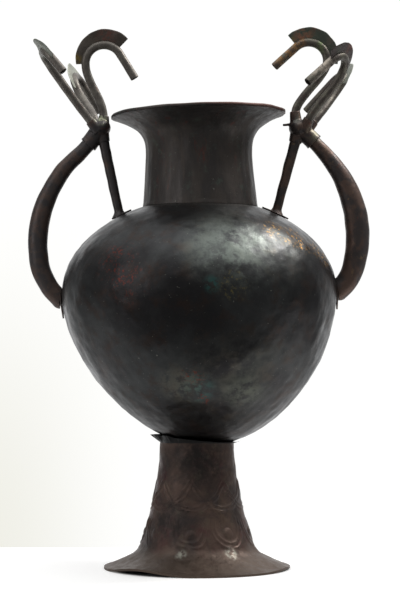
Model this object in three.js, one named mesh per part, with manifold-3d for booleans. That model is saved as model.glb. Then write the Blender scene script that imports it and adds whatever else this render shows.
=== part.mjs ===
// Ancient hammered bronze urn: an egg-shaped belly of sheet bronze on a flaring foot, a separate neck
// with a turned-out mouth, and two tubular handles. Each handle ends high up in a collar. From the
// collar a thin strut runs down to the shoulder and three crook-shaped tubes with flat crests rise.
// Millimetres, +Z up. The urn stands on Z = 0, its front faces -Y and its handles lie along X.

import * as THREE from "three";
import { mergeVertices } from "three/addons/utils/BufferGeometryUtils.js";
import Module from "manifold-3d";

// Sheet and fits
const wall = 1.5;
const clearance = 0.3;
const turns = 24;

// Foot
const footHeight = 125;
const footTopRadius = 37;
const ankleRadius = 58.5;
const ankleHeight = 18;
const brimRadius = 92.5;
const brimEdge = 2.2;
const brimFlat = 3;
const footShift = -2;
const stemFlare = 1.75;
const brimFlare = 1.2;
const stemRings = 4;
const brimRings = 3;

// Bent brim: where it has risen off the table
const brimBends = [
  { azimuth: -38, spread: 34, rise: 4.5 },
  { azimuth: 72, spread: 26, rise: 1.6 },
];

// Torn lip of the foot, splayed out under the belly
const lipRise = 7;
const lipReach = 2;
const lipTabs = [
  { azimuth: -90, spread: 26, reach: 9.5 },
  { azimuth: -48, spread: 14, reach: 6 },
  { azimuth: 84, spread: 13, reach: 7.5 },
  { azimuth: 62, spread: 9, reach: 4 },
  { azimuth: 140, spread: 22, reach: 6.5 },
  { azimuth: -150, spread: 20, reach: 8 },
];

// Raised work on the foot
const reliefRepeats = 8;
const reliefProud = 0.9;
const reliefWidth = 3.4;
const reliefStart = -8;
const festoonTop = 84;
const festoonDrop = 23;
const festoonSpread = 0.98;
const petalTop = 46;
const petalDrop = 24;
const petalSpread = 0.4;
const bossRadius = 3.2;
const bossHeight = 35;

// Belly
const bellyRadius = 137.5;
const bellySink = 4.5;
const bellyLowerHeight = 153.5;
const bellyUpperHeight = 94;
const bellyLowerFullness = 1.8;
const bellyLowerTaper = 0.56;
const bellyFootShift = 6.5;
const bellyNeckShift = 1.3;
const lowerRings = 9;
const shoulderRings = 6;

// Neck
const neckBaseRadius = 57.5;
const neckWaistRadius = 53.5;
const neckHeight = 90.8;
const neckWaistHeight = 51;
const neckWaistCurve = 1.2;
const rimRadius = 87.7;
const rimFlare = 3.3;
const rimBead = 1.7;
const rimTilt = 1.9;
const neckLean = -1.9;
const neckSeamHeight = 6;
const neckRings = 2;
const flareRings = 5;

// Tubes and plates
const handleSides = 10;
const handleBoreSides = 7;
const strutSides = 8;
const tubeSides = 6;
const boreSides = 4;
const plateThickness = 1.6;
const leafBelow = 22;
const leafAbove = 20;
const leafWidth = 26;

// Crooks: a bent tube with a flat crest standing on the outside of its bend
const crookRadius = 4.3;
const crookWall = 0.9;
const bendRadius = 18.5;
const crestRadius = 30.3;
const crestForward = 1.8;
const crestRise = 4.3;
const crestThickness = 1.6;
const crestEnd = 133;
const socketDepth = 4;
const socketRoot = 9;
const socketWall = 1.3;

// Collars
const collarLength = 22;
const collarRadius = 9.2;
const handleInset = 18;
const strutInset = 10;
const knuckle = { along: 10.5, across: 13, high: 9.5 };
const spur = { length: 9, radius: 1.5 };

// The two sides differ, as the old bronze is bent. Hubs stand outside the rim and below it. A handle's
// route is given as shares of its drop and as distances out from the straight line between its hub and
// the belly's widest part. A handle is attached above or below that part. A strut's foot stands
// outside the neck's base.
const sides = {
  left: {
    sign: -1,
    hub: { outside: 10.8, below: 11.8 },
    handle: {
      attach: -7.5,
      top: 7.4,
      middle: 10,
      foot: 9.5,
      route: [[0.1, 8.6], [0.253, 28.1], [0.439, 38.4], [0.625, 38.1], [0.811, 28.4], [0.915, 16.3]],
    },
    strut: { outside: 23, top: 5.5, bottom: 4.6, leafInner: 12, leafOuter: 7, leafWidth: 16 },
    crooks: {
      inner: {
        base: [-3, 0, 8], bow: [-0.05, 0, 1], bowLength: 20, crown: [15.3, 0, 64.2],
        lean: [0.03, 0, 1], facing: 0, sweep: 150, end: 29,
      },
      front: {
        base: [7.5, -8, 3], bow: [0.65, -0.2, 0.8], bowLength: 20, crown: [51, -30, 62],
        lean: [0.65, -0.8, 1], facing: -80, sweep: 135, end: 16,
      },
      back: {
        base: [5.5, 8, 4], bow: [0.1, 0.4, 0.8], bowLength: 16, crown: [26, 40, 44],
        lean: [0.45, 0.2, 1], facing: 76, sweep: 150, end: 30,
      },
    },
  },
  right: {
    sign: 1,
    hub: { outside: 12.3, below: 12.3 },
    handle: {
      attach: 1.5,
      top: 7.4,
      middle: 12.2,
      foot: 11,
      route: [[0.09, 12.6], [0.265, 29.6], [0.463, 36.6], [0.66, 34], [0.858, 21.8], [0.945, 11.6]],
    },
    strut: { outside: 18, top: 5.6, bottom: 4.5, leafInner: 14, leafOuter: 12, leafWidth: 18 },
    crooks: {
      inner: {
        base: [-3.5, 0, 13], bow: [-0.1, 0, 1], bowLength: 16, crown: [28.3, 0, 65.8],
        lean: [0.12, 0, 1], facing: 0, sweep: 139, end: 29.5,
      },
      front: {
        base: [8, -8, 5], bow: [0.4, -0.3, 0.8], bowLength: 24, crown: [43, -30, 56],
        lean: [0.35, -0.8, 1], facing: -60, sweep: 120, end: 34,
      },
      back: {
        base: [13, 8, 5], bow: [0.75, 0.35, 0.9], bowLength: 20, crown: [45, 40, 49],
        lean: [0.65, 0.4, 1], facing: 70, sweep: 145, end: 38,
      },
    },
  },
};

// Heights that follow from the sizes above
const bellyBottom = footHeight - bellySink;
const bellyWidest = bellyBottom + bellyLowerHeight;
const neckInnerRadius = neckBaseRadius - wall;
const neckBase = shoulderHeight(neckInnerRadius) + clearance;
const rimHeight = neckBase + neckHeight;

const wasm = await Module();
wasm.setup();

function smoothstep(value) {
  const share = THREE.MathUtils.clamp(value, 0, 1);
  return share * share * (3 - 2 * share);
}

// Radius of the belly's outside at a height. Above the widest ring it is an ellipse, below it a
// slimmer egg: the radius is the widest radius times (1 - drop^fullness)^taper.
function bellyRadiusAt(height) {
  if (height >= bellyWidest) {
    const rise = (height - bellyWidest) / bellyUpperHeight;
    return bellyRadius * Math.sqrt(Math.max(0, 1 - rise * rise));
  }
  const drop = Math.min(1, (bellyWidest - height) / bellyLowerHeight);
  return bellyRadius * Math.pow(1 - Math.pow(drop, bellyLowerFullness), bellyLowerTaper);
}

// Height of the shoulder at a radius, from the same ellipse
function shoulderHeight(radius) {
  return bellyWidest + bellyUpperHeight * Math.sqrt(1 - (radius / bellyRadius) ** 2);
}

// The belly leans: its axis runs off to +X towards the foot, and a little towards the neck
function bellyLean(height) {
  if (height >= bellyWidest) {
    return bellyNeckShift * smoothstep((height - bellyWidest) / bellyUpperHeight);
  }
  return bellyFootShift * smoothstep((bellyWidest - height) / bellyLowerHeight);
}

// Outside profile of the belly from its bottom pole up to a radius on the shoulder, each point
// moved outwards along its normal by offset
function bellyProfile(offset, shoulderRadius) {
  const heights = [];
  for (let ring = 0; ring <= lowerRings; ring += 1) {
    const share = ring / lowerRings;
    heights.push(bellyWidest - bellyLowerHeight * (1 - share * share));
  }
  const lastAngle = Math.acos(shoulderRadius / bellyRadius);
  for (let ring = 1; ring <= shoulderRings; ring += 1) {
    heights.push(bellyWidest + bellyUpperHeight * Math.sin((lastAngle * ring) / shoulderRings));
  }
  return heights.map((height) => {
    const normal = bellyNormal(height);
    const radius = bellyRadiusAt(height) + offset * normal.x;
    return new THREE.Vector2(Math.max(0, radius), height + offset * normal.y);
  });
}

// Outward normal of the belly's profile as (radius, height), by a small step along the profile
function bellyNormal(height) {
  const step = 0.01;
  if (height - step <= bellyBottom) {
    return new THREE.Vector2(0, -1);
  }
  const rise = 2 * step;
  const run = bellyRadiusAt(height + step) - bellyRadiusAt(height - step);
  return new THREE.Vector2(rise, -run).normalize();
}

// A closed mesh as a solid: shared corners are merged and empty triangles dropped
function solidOf(geometry) {
  const bare = new THREE.BufferGeometry();
  bare.setAttribute("position", geometry.getAttribute("position"));
  bare.setIndex(geometry.getIndex());
  const merged = mergeVertices(bare, 1e-4);
  const index = merged.getIndex().array;
  const corners = [];
  for (let i = 0; i < index.length; i += 3) {
    const [a, b, c] = [index[i], index[i + 1], index[i + 2]];
    if (a !== b && b !== c && c !== a) {
      corners.push(a, b, c);
    }
  }
  const vertProperties = new Float32Array(merged.getAttribute("position").array);
  const triVerts = new Uint32Array(corners);
  return new wasm.Manifold(new wasm.Mesh({ numProp: 3, vertProperties, triVerts }));
}

function geometryOf(solid) {
  const mesh = solid.getMesh();
  const geometry = new THREE.BufferGeometry();
  geometry.setAttribute("position", new THREE.BufferAttribute(mesh.vertProperties, 3));
  geometry.setIndex(new THREE.BufferAttribute(mesh.triVerts, 1));
  geometry.computeVertexNormals();
  return geometry;
}

// Solid of revolution about Z from a closed profile of (radius, height) that runs up its outside.
// The warp function may move each point afterwards.
function turned(profile, warp) {
  const geometry = new THREE.LatheGeometry(profile, turns);
  geometry.rotateX(Math.PI / 2);
  const merged = mergeVertices(positionsOnly(geometry), 1e-4);
  const position = merged.getAttribute("position");
  const point = new THREE.Vector3();
  for (let i = 0; i < position.count; i += 1) {
    point.fromBufferAttribute(position, i);
    warp(point);
    position.setXYZ(i, point.x, point.y, point.z);
  }
  return solidOf(merged);
}

function positionsOnly(geometry) {
  const bare = new THREE.BufferGeometry();
  bare.setAttribute("position", geometry.getAttribute("position"));
  bare.setIndex(geometry.getIndex());
  return bare;
}

function leanWithBelly(point) {
  point.x += bellyLean(point.z);
}

// Angle around the urn in degrees, 0 at the front and growing towards +X
function azimuthOf(x, y) {
  return THREE.MathUtils.radToDeg(Math.atan2(x, -y));
}

// 1 at the middle of a stretch around the urn, 0 beyond its spread
function stretchShare(azimuth, middle, spread) {
  const turn = THREE.MathUtils.euclideanModulo(azimuth - middle + 180, 360) - 180;
  return Math.max(0, 1 - Math.abs(turn) / spread);
}

// A round rod swept along points, each with its tangent and radius. The frame is carried along by
// taking the last one square to the next tangent.
function rod(stations, sidesAround) {
  const rings = [];
  const first = stations[0].tangent;
  const across = new THREE.Vector3(0, 1, 0);
  if (Math.abs(first.dot(across)) > 0.9) {
    across.set(1, 0, 0);
  }
  for (const { point, tangent, radius } of stations) {
    across.addScaledVector(tangent, -across.dot(tangent)).normalize();
    const other = new THREE.Vector3().crossVectors(tangent, across);
    const ring = [];
    for (let side = 0; side < sidesAround; side += 1) {
      const angle = (2 * Math.PI * (side + 0.5)) / sidesAround;
      const corner = point.clone();
      corner.addScaledVector(across, radius * Math.cos(angle));
      corner.addScaledVector(other, radius * Math.sin(angle));
      ring.push(corner);
    }
    rings.push(ring);
  }
  return skin(rings);
}

// A closed solid over rings of corners that run anticlockwise about its direction
function skin(rings) {
  const around = rings[0].length;
  const index = [];
  for (let ring = 0; ring + 1 < rings.length; ring += 1) {
    for (let side = 0; side < around; side += 1) {
      const a = ring * around + side;
      const b = ring * around + ((side + 1) % around);
      index.push(a, b, b + around, a, b + around, a + around);
    }
  }
  const last = (rings.length - 1) * around;
  for (let side = 1; side + 1 < around; side += 1) {
    index.push(0, side + 1, side, last, last + side, last + side + 1);
  }
  const geometry = new THREE.BufferGeometry().setFromPoints(rings.flat());
  geometry.setIndex(index);
  return solidOf(geometry);
}

// The same stations with another radius each, and the two end stations moved out by overrun
function resized(stations, radiusOf, overrun) {
  return stations.map(({ point, tangent, radius }, i) => {
    const moved = point.clone();
    if (i === 0) {
      moved.addScaledVector(tangent, -overrun);
    }
    if (i === stations.length - 1) {
      moved.addScaledVector(tangent, overrun);
    }
    return { point: moved, tangent, radius: radiusOf(radius) };
  });
}

function grown(stations) {
  return resized(stations, (radius) => radius + clearance, clearance);
}

// The belly with its skin moved out by an amount, as a cutter
function bellyCutter(offset) {
  const profile = bellyProfile(offset, neckInnerRadius);
  profile.push(new THREE.Vector2(0, profile[profile.length - 1].y));
  return turned(profile, leanWithBelly);
}

function makeBelly() {
  const seamTop = neckBase + neckSeamHeight;
  const seamRadius = Math.min(neckRadiusAt(neckBase), neckRadiusAt(seamTop)) - wall - clearance;
  const outer = bellyProfile(0, seamRadius);
  const inner = bellyProfile(-wall, seamRadius).filter((point) => point.x > seamRadius - wall);
  const pole = new THREE.Vector2(0, bellyBottom + wall);
  const insideShoulder = shoulderHeight(seamRadius - wall) - wall;
  const lower = bellyProfile(-wall, seamRadius).filter(
    (point) => point.x <= seamRadius - wall && point.y < bellyWidest && point.x > 0,
  );
  const profile = [
    ...outer,
    new THREE.Vector2(seamRadius, seamTop),
    new THREE.Vector2(seamRadius - wall, seamTop),
    new THREE.Vector2(seamRadius - wall, insideShoulder),
    ...inner.reverse(),
    ...lower.reverse(),
    pole,
    outer[0].clone(),
  ];
  return turned(profile, leanWithBelly);
}

// Outside radius of the neck at a height: it narrows to its waist, then flares to the rim
function neckRadiusAt(height) {
  const waist = neckBase + neckWaistHeight;
  if (height < waist) {
    const share = (waist - height) / neckWaistHeight;
    return neckWaistRadius + (neckBaseRadius - neckWaistRadius) * Math.pow(share, neckWaistCurve);
  }
  const share = (height - waist) / (rimHeight - waist);
  return neckWaistRadius + (rimRadius - neckWaistRadius) * Math.pow(share, rimFlare);
}

function neckNormal(height) {
  const step = 0.01;
  const run = neckRadiusAt(height + step) - neckRadiusAt(height - step);
  return new THREE.Vector2(2 * step, -run).normalize();
}

function makeNeck() {
  const waist = neckBase + neckWaistHeight;
  const heights = [];
  for (let ring = 0; ring < neckRings; ring += 1) {
    heights.push(neckBase + (neckWaistHeight * ring) / neckRings);
  }
  for (let ring = 0; ring <= flareRings; ring += 1) {
    const share = 1 - (1 - ring / flareRings) ** 1.6;
    heights.push(waist + (rimHeight - waist) * share);
  }
  const outer = heights.map((height) => new THREE.Vector2(neckRadiusAt(height), height));
  const inner = heights.map((height, ring) => {
    const normal = ring === 0 ? new THREE.Vector2(1, 0) : neckNormal(height);
    return new THREE.Vector2(neckRadiusAt(height) - wall * normal.x, height - wall * normal.y);
  });
  inner.pop();
  const bead = [-10, 70, 150].map((degrees) => {
    const angle = THREE.MathUtils.degToRad(degrees);
    const x = rimRadius - rimBead + rimBead * Math.cos(angle);
    return new THREE.Vector2(x, rimHeight + rimBead + rimBead * Math.sin(angle));
  });
  const profile = [...outer.slice(0, -1), ...bead, ...inner.reverse(), outer[0].clone()];
  return turned(profile, (point) => {
    const flare = smoothstep((point.z - waist) / (rimHeight - waist));
    const rise = (point.z - neckBase) / neckHeight;
    point.z += Math.tan(THREE.MathUtils.degToRad(rimTilt)) * point.x * flare;
    point.x += bellyNeckShift + neckLean * Math.max(0, rise);
  });
}

// Outside radius of the foot's stem at a height
function stemRadiusAt(height) {
  const share = (footHeight - height) / (footHeight - ankleHeight);
  return footTopRadius + (ankleRadius - footTopRadius) * Math.pow(Math.max(0, share), stemFlare);
}

// Height of the brim's upper side at a radius
function brimHeightAt(radius) {
  const share = (brimRadius - radius) / (brimRadius - ankleRadius);
  return brimEdge + (ankleHeight - brimEdge) * Math.pow(share, brimFlare);
}

// Bends in the brim and tears in the lip, as moves of the turned foot's corners
function bendFoot(point) {
  const azimuth = azimuthOf(point.x, point.y);
  const radius = Math.hypot(point.x, point.y);
  if (point.z < ankleHeight + wall) {
    const outwards = Math.max(0, (radius - ankleRadius) / (brimRadius - ankleRadius));
    for (const bend of brimBends) {
      const share = smoothstep(stretchShare(azimuth, bend.azimuth, bend.spread));
      point.z += bend.rise * share * outwards ** 1.5;
    }
  }
  if (point.z > footHeight + 0.1) {
    let reach = lipReach;
    for (const tab of lipTabs) {
      reach = Math.max(reach, tab.reach * Math.sqrt(stretchShare(azimuth, tab.azimuth, tab.spread)));
    }
    const stretch = (footTopRadius + reach - lipReach) / footTopRadius;
    point.x *= stretch;
    point.y *= stretch;
  }
  point.x += footShift;
}

// The foot is a turned shell with its raised work joined on. The roots of the raised work are cut
// off inside the shell's wall.
function makeFoot() {
  const lipTop = footHeight + lipRise;
  const stem = [];
  for (let ring = 0; ring <= stemRings; ring += 1) {
    const height = ankleHeight + ((footHeight - ankleHeight) * ring) / stemRings;
    stem.push(new THREE.Vector2(stemRadiusAt(height), height));
  }
  const brim = [];
  for (let ring = 0; ring < brimRings; ring += 1) {
    const radius = brimRadius - ((brimRadius - ankleRadius) * ring) / brimRings;
    brim.push(new THREE.Vector2(radius, brimHeightAt(radius)));
  }
  const inside = [...brim.slice(1), ...stem].map((point) => insideOf(point));
  const profile = [
    new THREE.Vector2(brimRadius - brimFlat, 0),
    new THREE.Vector2(brimRadius, 0),
    ...brim,
    ...stem,
    new THREE.Vector2(footTopRadius + lipReach + wall, lipTop),
    new THREE.Vector2(footTopRadius + lipReach, lipTop + 0.3 * wall),
    ...inside.reverse(),
    new THREE.Vector2(brimRadius - brimFlat, 0),
  ];
  const core = [
    new THREE.Vector2(0, ankleHeight),
    ...stem.map((point) => new THREE.Vector2(point.x - (2 / 3) * wall, point.y)),
    new THREE.Vector2(0, footHeight),
  ];
  const [firstPiece, ...others] = footRelief();
  const relief = others.reduce((solid, piece) => solid.add(piece), firstPiece);
  const rooted = relief.subtract(turned(core, bendFoot));
  return turned(profile, bendFoot).add(rooted).subtract(bellyCutter(clearance));
}

// A point of the foot's outside moved through the wall
function insideOf(point) {
  if (point.y > ankleHeight + clearance) {
    return new THREE.Vector2(point.x - wall, point.y);
  }
  const slope = Math.atan2(ankleHeight - brimEdge, brimRadius - ankleRadius);
  return new THREE.Vector2(point.x - wall * Math.sin(slope), point.y - wall * Math.cos(slope));
}

// A point on the foot's outside at an azimuth and a height on the stem, moved out by an amount
function onStem(azimuth, height, proud) {
  const angle = THREE.MathUtils.degToRad(azimuth);
  const radius = stemRadiusAt(height) + proud;
  return new THREE.Vector3(footShift + radius * Math.sin(angle), -radius * Math.cos(angle), height);
}

// A ridge along a curve on the stem, with a three-cornered section: two corners sunk in the sheet
// and one proud of it. The curve gives an azimuth and a height for a share from 0 to 1.
function ridge(curveAt, steps) {
  const pointAt = (share, proud) => {
    const { azimuth, height } = curveAt(share);
    return onStem(azimuth, height, proud);
  };
  const rings = [];
  for (let step = 0; step <= steps; step += 1) {
    const share = step / steps;
    const onward = pointAt(share + 0.01, 0).sub(pointAt(share - 0.01, 0)).normalize();
    const outward = pointAt(share, 1).sub(pointAt(share, 0));
    const across = new THREE.Vector3().crossVectors(outward, onward).multiplyScalar(reliefWidth / 2);
    const sunk = pointAt(share, -2 * wall);
    rings.push([sunk.clone().sub(across), sunk.add(across), pointAt(share, reliefProud)]);
  }
  return skin(rings);
}

// Each repeat has a festoon that reaches to its neighbours' middles, so that festoons cross, and
// below it a petal that hangs round a boss
function footRelief() {
  const pieces = [];
  const pitch = 360 / reliefRepeats;
  for (let repeat = 0; repeat < reliefRepeats; repeat += 1) {
    const middle = reliefStart + pitch * repeat;
    pieces.push(ridge((share) => {
      const across = 2 * share - 1;
      const height = festoonTop - festoonDrop * (1 - across ** 2);
      return { azimuth: middle + festoonSpread * pitch * across, height };
    }, 5));
    pieces.push(ridge((share) => {
      const angle = Math.PI * share;
      const height = petalTop - petalDrop * Math.sin(angle);
      return { azimuth: middle - petalSpread * pitch * Math.cos(angle), height };
    }, 4));
    pieces.push(boss(middle));
  }
  return pieces;
}

function boss(azimuth) {
  const geometry = new THREE.SphereGeometry(bossRadius, 5, 3);
  const place = onStem(azimuth, bossHeight, reliefProud - bossRadius);
  geometry.translate(place.x, place.y, place.z);
  return solidOf(geometry);
}

// Place of a side's hub, where handle, strut and crooks meet
function hubOf(side) {
  return new THREE.Vector3(side.sign * (rimRadius + side.hub.outside), 0, rimHeight - side.hub.below);
}

// Centre of a handle's foot on the belly, half a plate out from its skin
function handleFoot(side) {
  const height = bellyWidest + side.handle.attach;
  const reach = bellyRadiusAt(height) + clearance + plateThickness / 2;
  return new THREE.Vector3(side.sign * reach + bellyLean(height), 0, height);
}

function handleCurve(side) {
  const hub = hubOf(side);
  const foot = handleFoot(side);
  const points = side.handle.route.map(([share, outside]) => {
    const height = hub.z + (foot.z - hub.z) * share;
    const straight = hub.x + (side.sign * bellyRadius - hub.x) * share;
    return new THREE.Vector3(straight + side.sign * outside, 0, height);
  });
  return new THREE.CatmullRomCurve3([hub, ...points, foot], false, "centripetal");
}

// Radius of a handle at a share of its length from the hub
function handleRadius(handle, share) {
  if (share < 0.62) {
    return THREE.MathUtils.lerp(handle.top, handle.middle, smoothstep((share - 0.08) / 0.54));
  }
  return THREE.MathUtils.lerp(handle.middle, handle.foot, smoothstep((share - 0.62) / 0.38));
}

// Stations along a curve between two shares of its length
function stationsOn(curve, from, to, steps, radiusAt) {
  const stations = [];
  for (let step = 0; step <= steps; step += 1) {
    const share = THREE.MathUtils.lerp(from, to, step / steps);
    const point = curve.getPointAt(share);
    stations.push({ point, tangent: curve.getTangentAt(share), radius: radiusAt(share) });
  }
  return stations;
}

function handleStations(side) {
  const curve = handleCurve(side);
  const start = handleInset / curve.getLength();
  return stationsOn(curve, start, 1, 10, (share) => handleRadius(side.handle, share));
}

// A point on the belly's skin at a height and a distance along Y, moved out by offset
function onBelly(sign, height, along, offset) {
  const radius = bellyRadiusAt(height);
  const normal = bellyNormal(height);
  const angle = Math.asin(THREE.MathUtils.clamp(along / radius, -1, 1));
  const reach = radius + offset * normal.x;
  const x = sign * reach * Math.cos(angle) + bellyLean(height);
  return new THREE.Vector3(x, reach * Math.sin(angle), height + offset * normal.y);
}

// A leaf-shaped plate that follows the belly's skin. The outline function gives, for a share from
// -1 to 1 along the leaf, the height on the belly and the half width there.
function leafPlate(sign, outline) {
  const rows = 4;
  const columns = 2;
  const positions = [];
  const index = [];
  for (const offset of [clearance, clearance + plateThickness]) {
    for (let row = 0; row <= rows; row += 1) {
      const { height, halfWidth } = outline((2 * row) / rows - 1);
      for (let column = 0; column <= columns; column += 1) {
        const along = halfWidth * ((2 * column) / columns - 1);
        const point = onBelly(sign, height, along, offset);
        positions.push(point.x, point.y, point.z);
      }
    }
  }
  const stride = columns + 1;
  const layer = (rows + 1) * stride;
  const quad = (a, b, c, d) => {
    if (sign > 0) {
      index.push(a, b, c, a, c, d);
    } else {
      index.push(a, c, b, a, d, c);
    }
  };
  for (let row = 0; row < rows; row += 1) {
    for (let column = 0; column < columns; column += 1) {
      const a = row * stride + column;
      quad(a, a + stride, a + stride + 1, a + 1);
      quad(layer + a, layer + a + 1, layer + a + stride + 1, layer + a + stride);
    }
    const low = row * stride;
    const high = low + columns;
    quad(low, layer + low, layer + low + stride, low + stride);
    quad(high, high + stride, layer + high + stride, layer + high);
  }
  for (let column = 0; column < columns; column += 1) {
    const top = rows * stride + column;
    quad(column, column + 1, layer + column + 1, layer + column);
    quad(top, layer + top, layer + top + 1, top + 1);
  }
  const geometry = new THREE.BufferGeometry();
  geometry.setAttribute("position", new THREE.Float32BufferAttribute(positions, 3));
  geometry.setIndex(index);
  return solidOf(geometry);
}

// Half width of a pointed leaf, a share of its full width, at a share from -1 to 1 along it
function leafShape(share) {
  return Math.max(0.06, Math.cos((Math.PI / 2) * share));
}

function makeHandle(side) {
  const stations = handleStations(side);
  const tube = rod(stations, handleSides).subtract(bellyCutter(clearance + plateThickness / 2));
  const bore = rod(resized(stations, (radius) => radius - wall, 1), handleBoreSides);
  const plugless = tube.subtract(bore.subtract(bellyCutter(clearance + plateThickness)));
  const centre = bellyWidest + side.handle.attach;
  const leaf = leafPlate(side.sign, (share) => {
    const reach = share > 0 ? leafAbove : leafBelow;
    return { height: centre + share * reach, halfWidth: (leafWidth / 2) * leafShape(share) };
  });
  return plugless.add(leaf);
}

// How far from the axis a strut's foot stands on the shoulder
function strutReach(side) {
  return neckBaseRadius + side.strut.outside;
}

// A strut from its socket in the hub to its foot on the shoulder, where it widens to a cone
function strutStations(side) {
  const { strut } = side;
  const hub = hubOf(side);
  const height = shoulderHeight(strutReach(side));
  const foot = new THREE.Vector3(side.sign * strutReach(side) + bellyNeckShift, 0, height);
  const tangent = foot.clone().sub(hub).normalize();
  const top = hub.clone().addScaledVector(tangent, strutInset);
  const cone = foot.clone().addScaledVector(tangent, -7);
  return [
    { point: top, tangent, radius: strut.top },
    { point: cone, tangent, radius: strut.bottom },
    { point: foot.addScaledVector(tangent, 1), tangent, radius: strut.bottom + 2.4 },
  ];
}

function makeStrut(side) {
  const { strut } = side;
  const bar = rod(strutStations(side), strutSides).subtract(bellyCutter(clearance + plateThickness / 2));
  const leaf = leafPlate(side.sign, (share) => {
    const reach = share > 0 ? strut.leafInner : strut.leafOuter;
    const height = shoulderHeight(strutReach(side) - share * reach);
    return { height, halfWidth: (strut.leafWidth / 2) * leafShape(share) };
  });
  return bar.add(leaf);
}

// A crook's stem, bend and straight end as stations. Base and crown are from the hub: out along X
// away from the neck, along Y, and up. Facing is the turn of the bend from the neck towards +Y.
function crookStations(side, crook) {
  const hub = hubOf(side);
  const outward = ([out, along, up]) => new THREE.Vector3(side.sign * out, along, up);
  const base = hub.clone().add(outward(crook.base));
  const crown = hub.clone().add(outward(crook.crown));
  const { up, forward } = crookFrame(side, crook);
  const bow = outward(crook.bow).normalize();
  const firstHandle = base.clone().addScaledVector(bow, crook.bowLength);
  const secondHandle = crown.clone().addScaledVector(up, -crook.bowLength);
  const stem = new THREE.CubicBezierCurve3(base, firstHandle, secondHandle, crown);
  const stations = [];
  for (const share of [0, 0.25, 0.5, 0.75]) {
    stations.push({ point: stem.getPoint(share), tangent: stem.getTangent(share), radius: crookRadius });
  }
  const sweep = THREE.MathUtils.degToRad(crook.sweep);
  const centre = crown.clone().addScaledVector(forward, bendRadius);
  const bendSteps = 5;
  for (let step = 0; step <= bendSteps; step += 1) {
    const angle = (sweep * step) / bendSteps;
    const point = centre.clone();
    point.addScaledVector(forward, -bendRadius * Math.cos(angle));
    point.addScaledVector(up, bendRadius * Math.sin(angle));
    const tangent = new THREE.Vector3();
    tangent.addScaledVector(forward, Math.sin(angle)).addScaledVector(up, Math.cos(angle));
    stations.push({ point, tangent, radius: crookRadius });
  }
  const last = stations[stations.length - 1];
  const end = last.point.clone().addScaledVector(last.tangent, crook.end);
  stations.push({ point: end, tangent: last.tangent, radius: crookRadius });
  return stations;
}

// Axes of a crook's bend: up along the stem's end, and forward square to it
function crookFrame(side, crook) {
  const [out, along, rise] = crook.lean;
  const up = new THREE.Vector3(side.sign * out, along, rise).normalize();
  const facing = THREE.MathUtils.degToRad(crook.facing);
  const forward = new THREE.Vector3(-side.sign * Math.cos(facing), Math.sin(facing), 0);
  forward.addScaledVector(up, -forward.dot(up)).normalize();
  return { up, forward };
}

function makeCrook(side, crook) {
  const stations = crookStations(side, crook);
  const bore = resized(stations, (radius) => radius - crookWall, 1);
  return rod(stations, tubeSides).subtract(rod(bore, boreSides));
}

// Crescent plate on the outside of a crook's bend, in the bend's plane
function makeCrest(side, crook) {
  const { up, forward } = crookFrame(side, crook);
  const crown = hubOf(side).add(new THREE.Vector3(
    side.sign * crook.crown[0], crook.crown[1], crook.crown[2],
  ));
  const centre = crown.addScaledVector(forward, bendRadius);
  const steps = 6;
  const from = Math.PI;
  const to = THREE.MathUtils.degToRad(180 - Math.min(crestEnd, crook.sweep));
  const halfStep = Math.abs(from - to) / steps / 2;
  const innerRadius = (bendRadius + crookRadius + clearance) / Math.cos(halfStep);
  const inner = [];
  const outer = [];
  for (let step = 0; step <= steps; step += 1) {
    const angle = from + ((to - from) * step) / steps;
    const along = new THREE.Vector2(Math.cos(angle), Math.sin(angle));
    inner.push(along.clone().multiplyScalar(innerRadius));
    outer.push(along.clone().multiplyScalar(crestReach(along)));
  }
  const shape = new THREE.Shape([...inner, ...outer.reverse()]);
  const geometry = new THREE.ExtrudeGeometry(shape, { depth: crestThickness, bevelEnabled: false });
  geometry.translate(0, 0, -crestThickness / 2);
  const normal = new THREE.Vector3().crossVectors(forward, up);
  const frame = new THREE.Matrix4().makeBasis(forward, up, normal).setPosition(centre);
  geometry.applyMatrix4(frame);
  return solidOf(geometry);
}

// Distance from the bend's centre to the crest's edge along a direction: the edge is a circle
// whose centre lies forward of the bend's centre and above it
function crestReach(along) {
  const offset = new THREE.Vector2(crestForward, crestRise);
  const nearest = along.dot(offset);
  return nearest + Math.sqrt(crestRadius ** 2 - offset.lengthSq() + nearest ** 2);
}

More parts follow.
